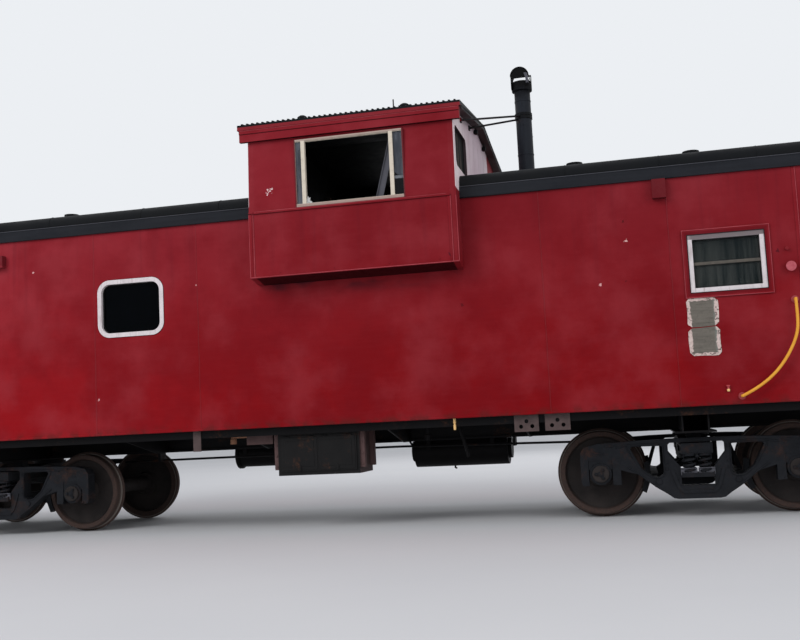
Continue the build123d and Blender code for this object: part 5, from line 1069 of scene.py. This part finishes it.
# Grab irons beside the doors, each a bent bar on two round feet.
grabs = Shape()
x, z0, z1 = 4.951, 1.62, 2.42
for y in (-0.5, 0.56):
    line = ((0, z0), (0.05, z0 + 0.004), (0.064, z0 + 0.024),
            (0.064, z1 - 0.024), (0.05, z1 - 0.004), (0, z1))
    grabs.rod([(x + out, y, z) for out, z in line], 0.0105, 12)
    for z in (z0, z1):
        grabs.boss((x - 0.0005, y, z), AHEAD, 0.026, 0.022, 0.005)
grabs.mirror(0).make("end_grab_irons", yellow, "yellow_paint")

# Coupler pins, knuckle levers, uncoupling rods, striker bolts and the brackets that carry them.
SILL_X = 5.792
levers = Shape()
levers.turned([(0, 0), (0.026, 0), (0.026, 0.01), (0.018, 0.014), (0.018, 0.026), (0, 0.03)],
              (5.95, 0.075, 1.011), UP, 20)
levers.boss((5.905, 0, 1.0105), UP, 0.034, 0.034, 0.012, 0.016, 20)
levers.rod([(5.905, 0, 1.024), (5.905, 0, 1.052), (5.885, 0.03, 1.06)], 0.009)
levers.rod([(5.885, 0.03, 1.06), (5.86, 0.16, 1.06), (5.8, 0.24, 1.02), (SILL_X, 0.42, 0.99),
            (SILL_X, 1.23, 0.99), (5.8, 1.3, 0.975), (5.815, 1.33, 0.93), (5.815, 1.335, 0.855)], 0.0105)
for y in (0.33, 1.15):
    levers.bar((5.764, y - 0.022, 0.965), (5.772, y + 0.022, 1.06), 0.002)
    levers.rod([(5.768, y, 0.99), (SILL_X, y, 0.99)], 0.016, 12)
    levers.bolt((5.772, y, 1.04), AHEAD, 0.008)
for y, z in itertools.product((-0.14, 0.14), (0.815, 0.885, 0.955, 1.006)):
    levers.bolt((SILL_X, y, z), AHEAD, 0.009)
for y in (-1.3, -1.05, -0.8, 0.8, 1.05, 1.3):
    levers.bolt((5.766, y, 1.135), AHEAD, 0.009)

# The brake pipe's end, with its angle cock and handle.
levers.rod([(5.7, -0.32, 0.985), (5.775, -0.32, 0.985), (5.83, -0.32, 0.97)], 0.021, 14)
levers.turned([(0.024, 0), (0.033, 0.004), (0.033, 0.034), (0.024, 0.04), (0, 0.04)], (5.795, -0.32, 0.98),
              (0.96, 0, -0.26), 18)
levers.bar((5.797, -0.328, 1.004), (5.812, -0.312, 1.03), 0.002)
levers.bar((5.79, -0.33, 1.028), (5.85, -0.31, 1.034), 0.002)
levers.mirror(0).make("uncoupling_levers", frame_black, "underframe_paint")

# Hand brake: the wheel's hub nut, and the chain rod that runs down from its case to a foot.
brake = Shape()
brake.boss((5.684, -0.88, 2.277), AHEAD, 0.02, 0.016, 0.012, 0.014, 6)
brake.rod([(5.62, -0.84, 2.16), (5.62, -0.832, 1.6), (5.62, -0.832, 1.21)], 0.01)
brake.boss((5.62, -0.832, DECK_Z), UP, 0.028, 0.028, 0.008, 0.01)
brake.make("hand_brake_rod", yellow, "yellow_paint")

# Step treads: open grating bars and a bright worn nosing on each of the three steps.
STEP_X0, STEP_X1 = 5.102, 5.648
grating = Shape()
for z, inner, outer in ((0.93, 0.85, 1.11), (0.68, 1, 1.26), (0.43, 1.135, 1.4)):
    for y in (inner + 0.018 + j * 0.034 for j in range(7)):
        grating.bar((STEP_X0, y, z), (STEP_X1, y + 0.006, z + 0.003), 0.001)
    for x in (5.115 + j * 0.0375 for j in range(15)):
        grating.bar((x, inner + 0.012, z), (x + 0.004, outer - 0.014, z + 0.0025), 0.0008)
    grating.bar((STEP_X0, outer - 0.02, z), (STEP_X1, outer + 0.0005, z + 0.004), 0.001)
grating.mirror(1).mirror(0).make("step_gratings", deck, "underframe_paint")

# Doors: lever handle and lock on a plate, kick strip with its screws, and the rubber round the
# glass, on both faces; they turn with the door.
brass, b = new_finish("worn door metal", 0.4, 0.8, 0.5)
tarnish = b.use(patches, Scale=20, Cover=0.45, Edge=0.2)["Mask"]
b.paint(b.blend(tarnish, (128, 122, 112), (74, 68, 62)), tarnish.ease(0, 1, 0.32, 0.6),
        b.noise(200, 3), 0.0005)
for end, s in (("a", -1), ("b", 1)):
    hardware, strip = Shape(), Shape()
    for x, face, reach, neck in ((4.92, 1, 0.026, 0.03), (4.875, -1, 0.04, 0.04)):
        out = (face, 0, 0)
        hardware.bar((x - 0.0005 * face, 0.255, 2.11), (x + 0.005 * face, 0.305, 2.31), 0.002)
        hardware.turned([(0, 0), (0.019, 0), (0.016, 0.012), (0.011, 0.016), (0.011, neck)],
                        (x, 0.28, 2.215), out, 18)
        hardware.rod([(x + face * reach, 0.28, 2.215), (x + face * reach, 0.24, 2.215),
                      (x + face * (reach - 0.004), 0.175, 2.211)], 0.0095, 12)
        hardware.boss((x + 0.004 * face, 0.28, 2.14), out, 0.012, 0.012, 0.006, 0.007, 16)
        hardware.bar((x - 0.0005 * face, -0.315, 1.275), (x + 0.002 * face, 0.315, 1.355), 0.001)
        for y in (-0.29, 0, 0.29):
            hardware.boss((x + 0.002 * face, y, 1.315), out, 0.005, 0.004, 0.002, 0.0025, 10)
    for x in (4.9035, 4.8925):
        outline = rounded_outline(-0.206, 0.206, 2.315, 2.907, 0.044, 6)
        strip.rod([(x, y, z) for y, z in outline], 0.008, 8, closed=True)
    for point in hardware.points + strip.points:
        point.x *= s
    hardware.make("door_hardware_" + end, brass, "bare_steel", body="door_" + end)
    strip.make("door_window_strip_" + end, rubber, "frame_paint", body="door_" + end)

# Marker lamp brackets, and the drip moulding above each door.
trim = Shape()
trim.bar((WALL_X, -0.46, 3.2), (4.975, 0.46, 3.212))
trim.bar((WALL_X, -0.46, 3.192), (4.956, 0.46, 3.203), 0.002)
for y in (-1.29, 1.29):
    trim.bar((WALL_X, y - 0.03, 2.48), (4.956, y + 0.03, 2.6), 0.002)
    trim.bar((4.955, y - 0.01, 2.5), (4.995, y + 0.01, 2.512), 0.002)
    trim.bar((4.985, y - 0.01, 2.5), (4.995, y + 0.01, 2.56), 0.002)
    for z in (2.492, 2.588):
        trim.bolt((4.956, y, z), AHEAD, 0.006, False)
trim.mirror(0).make("end_wall_trim", red_paint, "red_paint")

# ------------------------ Cabin
# Painted plywood lockers and benches, a plank floor, an iron stove and vinyl seats in the cupola.
# Leaves and pulls lie on the lockers' fronts, and the cushions rest loose on their boards.
cabin_paint, b = new_finish("cabin paint", 0.55)
stain = b.use(patches, Scale=3, Cover=0.4, Edge=0.2)
paint = b.blend(stain["Mask"], (92, 100, 92), (66, 70, 64))
b.paint(b.blend(b.z.ease(1.24, 1.36, 0.6, 0), paint, (48, 46, 42)), stain["Grain"].ease(0.3, 0.7, 0.45, 0.7),
        stain["Grain"], 0.0008)
dress(cabin_paint, "lockers")

planks, b = new_finish("floor planks", 0.7)
grain = b.noise(2, 6, 0.6, at=b.stretch((1.5, 40, 10)))
gap = abs(b.maths("SINE", b.y * 26)).ease(0, 0.08)
wood = b.blend(gap, (20, 16, 14), b.blend(grain, (62, 46, 36), (98, 78, 58)))
b.paint(b.blend(b.facing[2].ease(-0.4, -0.6), wood, (13, 13, 14)), grain.ease(0.3, 0.7, 0.6, 0.85),
        gap + grain * 0.3, 0.003)
dress(planks, "floor")

# Locker doors: framed plywood leaves with bar pulls, and plain fronts with pulls under the benches.
LOCKER_Y, BENCH_Y = 0.546, 0.716
doors = Shape()
for x in (-0.34 + k * 0.48 for k in range(4)):
    doors.bar((x, LOCKER_Y, 1.33), (x + 0.45, 0.5605, 2.5))
    for z0, z1 in ((1.39, 1.88), (1.94, 2.44)):
        doors.bar((x + 0.05, 0.541, z0), (x + 0.4, 0.547, z1))
    pull = ((LOCKER_Y, 1.86), (0.52, 1.865), (0.52, 1.955), (LOCKER_Y, 1.96))
    doors.rod([(x + 0.425, y, z) for y, z in pull], 0.006)
for x in (2.8 + k * 0.6 for k in range(3)):
    doors.bar((x, BENCH_Y, 1.29), (x + 0.56, 0.7275, 1.61))
    pull = ((0.23, BENCH_Y), (0.24, 0.696), (0.32, 0.696), (0.33, BENCH_Y))
    doors.rod([(x + dx, y, 1.55) for dx, y in pull], 0.006)
doors.mirror(1).make("locker_doors", cabin_paint, "cabin_paint")

# Cupola seats: plywood bases and back frames that carry the upholstery; they stand for the CAD seats.
SEATS = ((-0.0075, -1), (1.2325, 1))
SEAT_Y0, SEAT_Y1 = 0.782, 1.315
SEAT_SIDE = ((0.1, 0.2), (0.185, 0.2), (0.24, 0.25), (0.388, 0.96), (0.372, 0.99), (0.345, 0.996),
             (0.15, 0.3))
bases = Shape()
for middle, s in SEATS:
    x0, x1 = sorted((middle - s * 0.27, middle + s * 0.16))
    bases.bar((x0, SEAT_Y0 + 0.02, 2.5955), (x1, SEAT_Y1 - 0.02, 2.8), 0.006)
    x0, x1 = sorted((middle - s * 0.3, middle + s * 0.175))
    bases.bar((x0, SEAT_Y0, 2.8), (x1, SEAT_Y1, 2.83), 0.006)
    for y in (SEAT_Y0 + 0.004, SEAT_Y1 - 0.034):
        bases.sheet([(middle + s * u, y, 2.595 + w) for u, w in SEAT_SIDE], (0, 0.03, 0))
    bases.rod([(middle + s * 0.352, y, 3.575) for y in (SEAT_Y0 + 0.01, SEAT_Y1 - 0.01)], 0.014, 12)
    for x in (middle - s * 0.2, middle - s * 0.02):
        bases.boss((x, SEAT_Y0 + 0.02, 2.7), (0, -1, 0), 0.012, 0.012, 0.004, 0.006, 12)
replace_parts(bases.mirror(1).make("cupola_seat_bases", cabin_paint, "cabin_paint"), "seats")

# Cracked black vinyl over foam, sewn in three channels on the seats and plain on the benches.
vinyl, b = new_finish("seat vinyl", 0.42, 0, 0.3)
crack = b.add("ShaderNodeTexVoronoi", {"Vector": b.p, "Scale": 130}, feature="DISTANCE_TO_EDGE")
worn = b.use(patches, Scale=7, Cover=0.35, Edge=0.2)["Mask"]
skin = b.blend(b.noise(8, 4), (28, 31, 34), (50, 53, 56))
b.paint(b.blend(worn * 0.5, skin, (82, 80, 76)), worn.ease(0, 1, 0.36, 0.62),
        crack.ease(0, 0.08) + b.noise(9, 3) * 5, 0.0008)


def cushion(name, side, at, half, lean=0, channels=0):
    """A padded cushion on the near or the far side."""
    shape = Shape()
    shape.pad((at[0], side * at[1], at[2]), half, lean, channels)
    piece = shape.make(name + ("_near" if side < 0 else "_far"), vinyl, "seat_cloth", 60)


SEAT_LEAN = math.radians(73.5)
for (number, (middle, s)), side in itertools.product(enumerate(SEATS), (-1, 1)):
    cushion("seat_cushion_%d" % number, side, (middle - s * 0.075, 1.0485, 2.8785), (0.214, 0.258, 0.05),
            0, 3)
    cushion("seat_back_%d" % number, side, (middle + s * 0.222, 1.0485, 3.245), (0.288, 0.225, 0.04),
            -s * SEAT_LEAN, 3)
for side, number in itertools.product((-1, 1), range(3)):
    cushion("bench_cushion_%d" % number, side, (3.06 + 0.6 * number, 1.03, 1.7005),
            (0.298, 0.296, 0.044))

# Stove: plate iron with a fire door on hinge pins, its handle, a draught slide, and flue bands.
iron, b = new_finish("stove iron", 0.6, 0.3)
rusty = b.use(rust, Scale=5, Cover=0.35)
b.paint(b.blend(rusty["Mask"], (24, 23, 24), rusty["Color"]), rusty["Mask"].ease(0, 1, 0.45, 0.85),
        b.noise(150, 3) + rusty["Height"])
dress(iron, "stove")
stove = Shape()
stove.bar((1.98, -0.13, 1.48), (1.991, 0.13, 1.76), 0.004)
stove.bar((1.974, -0.1, 1.51), (1.982, 0.1, 1.73), 0.004)
for z in (1.54, 1.7):
    stove.rod([(1.982, 0.118, z - 0.02), (1.982, 0.118, z + 0.02)], 0.008)
stove.rod([(x, -0.112, z) for x, z in ((1.98, 1.62), (1.95, 1.62), (1.944, 1.59), (1.944, 1.55))], 0.007)
stove.bar((1.976, -0.11, 1.35), (1.991, 0.11, 1.43), 0.004)
for z in (2.3, 2.95, 3.35):
    stove.band((STACK_X, 0, z), UP, 0.0895, 0.097, 0.014, 0.008, 32)
stove.make("stove_fittings", iron, "stove_iron")

# ------------------------ Floor, light and camera
# A pale studio floor and even soft light. The camera stands low beside the car and looks up
# at it, turned a little towards the end without the hand brake.


def put(name, data):
    """Puts a mesh, lamp or camera in the scene."""
    thing = bpy.data.objects.new(name, data)
    bpy.context.scene.collection.objects.link(thing)
    return thing


ground = bpy.data.meshes.new("studio_floor")
ground.from_pydata([(-70, -45, 0), (70, -45, 0), (70, 90, 0), (-70, 90, 0)], [], [[0, 1, 2, 3]])
pale_floor, b = new_finish("studio floor", 0.9)
b.paint(b.blend(b.noise(0.4, 3), (196, 197, 200), (204, 204, 206)))
ground.materials.append(pale_floor)
put("studio_floor", ground)

# The camera sees the backdrop a little lighter than the car does.
world = bpy.data.worlds.new("studio")
bpy.context.scene.world = world
world.use_nodes = True
b = Bench(world.node_tree)
b.join(world.node_tree.nodes["Background"].inputs["Color"],
       b.blend(b.add("ShaderNodeLightPath"), (217, 219, 223), (236, 239, 243)))

for name, spot_at, aim, size, power in (
    ("key_light", (-9, -14, 12), (0, 0, 2), 9, 1500), ("fill_light", (14, -10, 7), (2, 0, 2), 8, 500),
    ("back_light", (2, 16, 12), (0, 0, 2.5), 10, 800),
):
    lamp = bpy.data.lights.new(name, "AREA")
    lamp.size, lamp.energy = size, power
    holder = put(name, lamp)
    holder.location = spot_at
    holder.rotation_euler = (Vector(aim) - Vector(spot_at)).to_track_quat("-Z", "Y").to_euler()
    holder.visible_glossy = False

yaw, pitch, roll = 0.2235, 0.0992, -0.0496
look = Vector((-math.sin(yaw) * math.cos(pitch), math.cos(yaw) * math.cos(pitch), math.sin(pitch)))
level = Vector((math.cos(yaw), math.sin(yaw), 0))
above = level.cross(look)
right = math.cos(roll) * level + math.sin(roll) * above
upward = math.cos(roll) * above - math.sin(roll) * level
camera = put("camera", bpy.data.cameras.new("camera"))
camera.data.sensor_width = 36
camera.data.lens = 1033.16 * 36 / 800
camera.data.clip_end = 300
turn = Matrix((right, upward, -look)).transposed().to_4x4()
camera.matrix_world = Matrix.Translation((3.3119, -11.5205, 1.0427)) @ turn
bpy.context.scene.camera = camera
bpy.context.scene.view_settings.view_transform = "Standard"
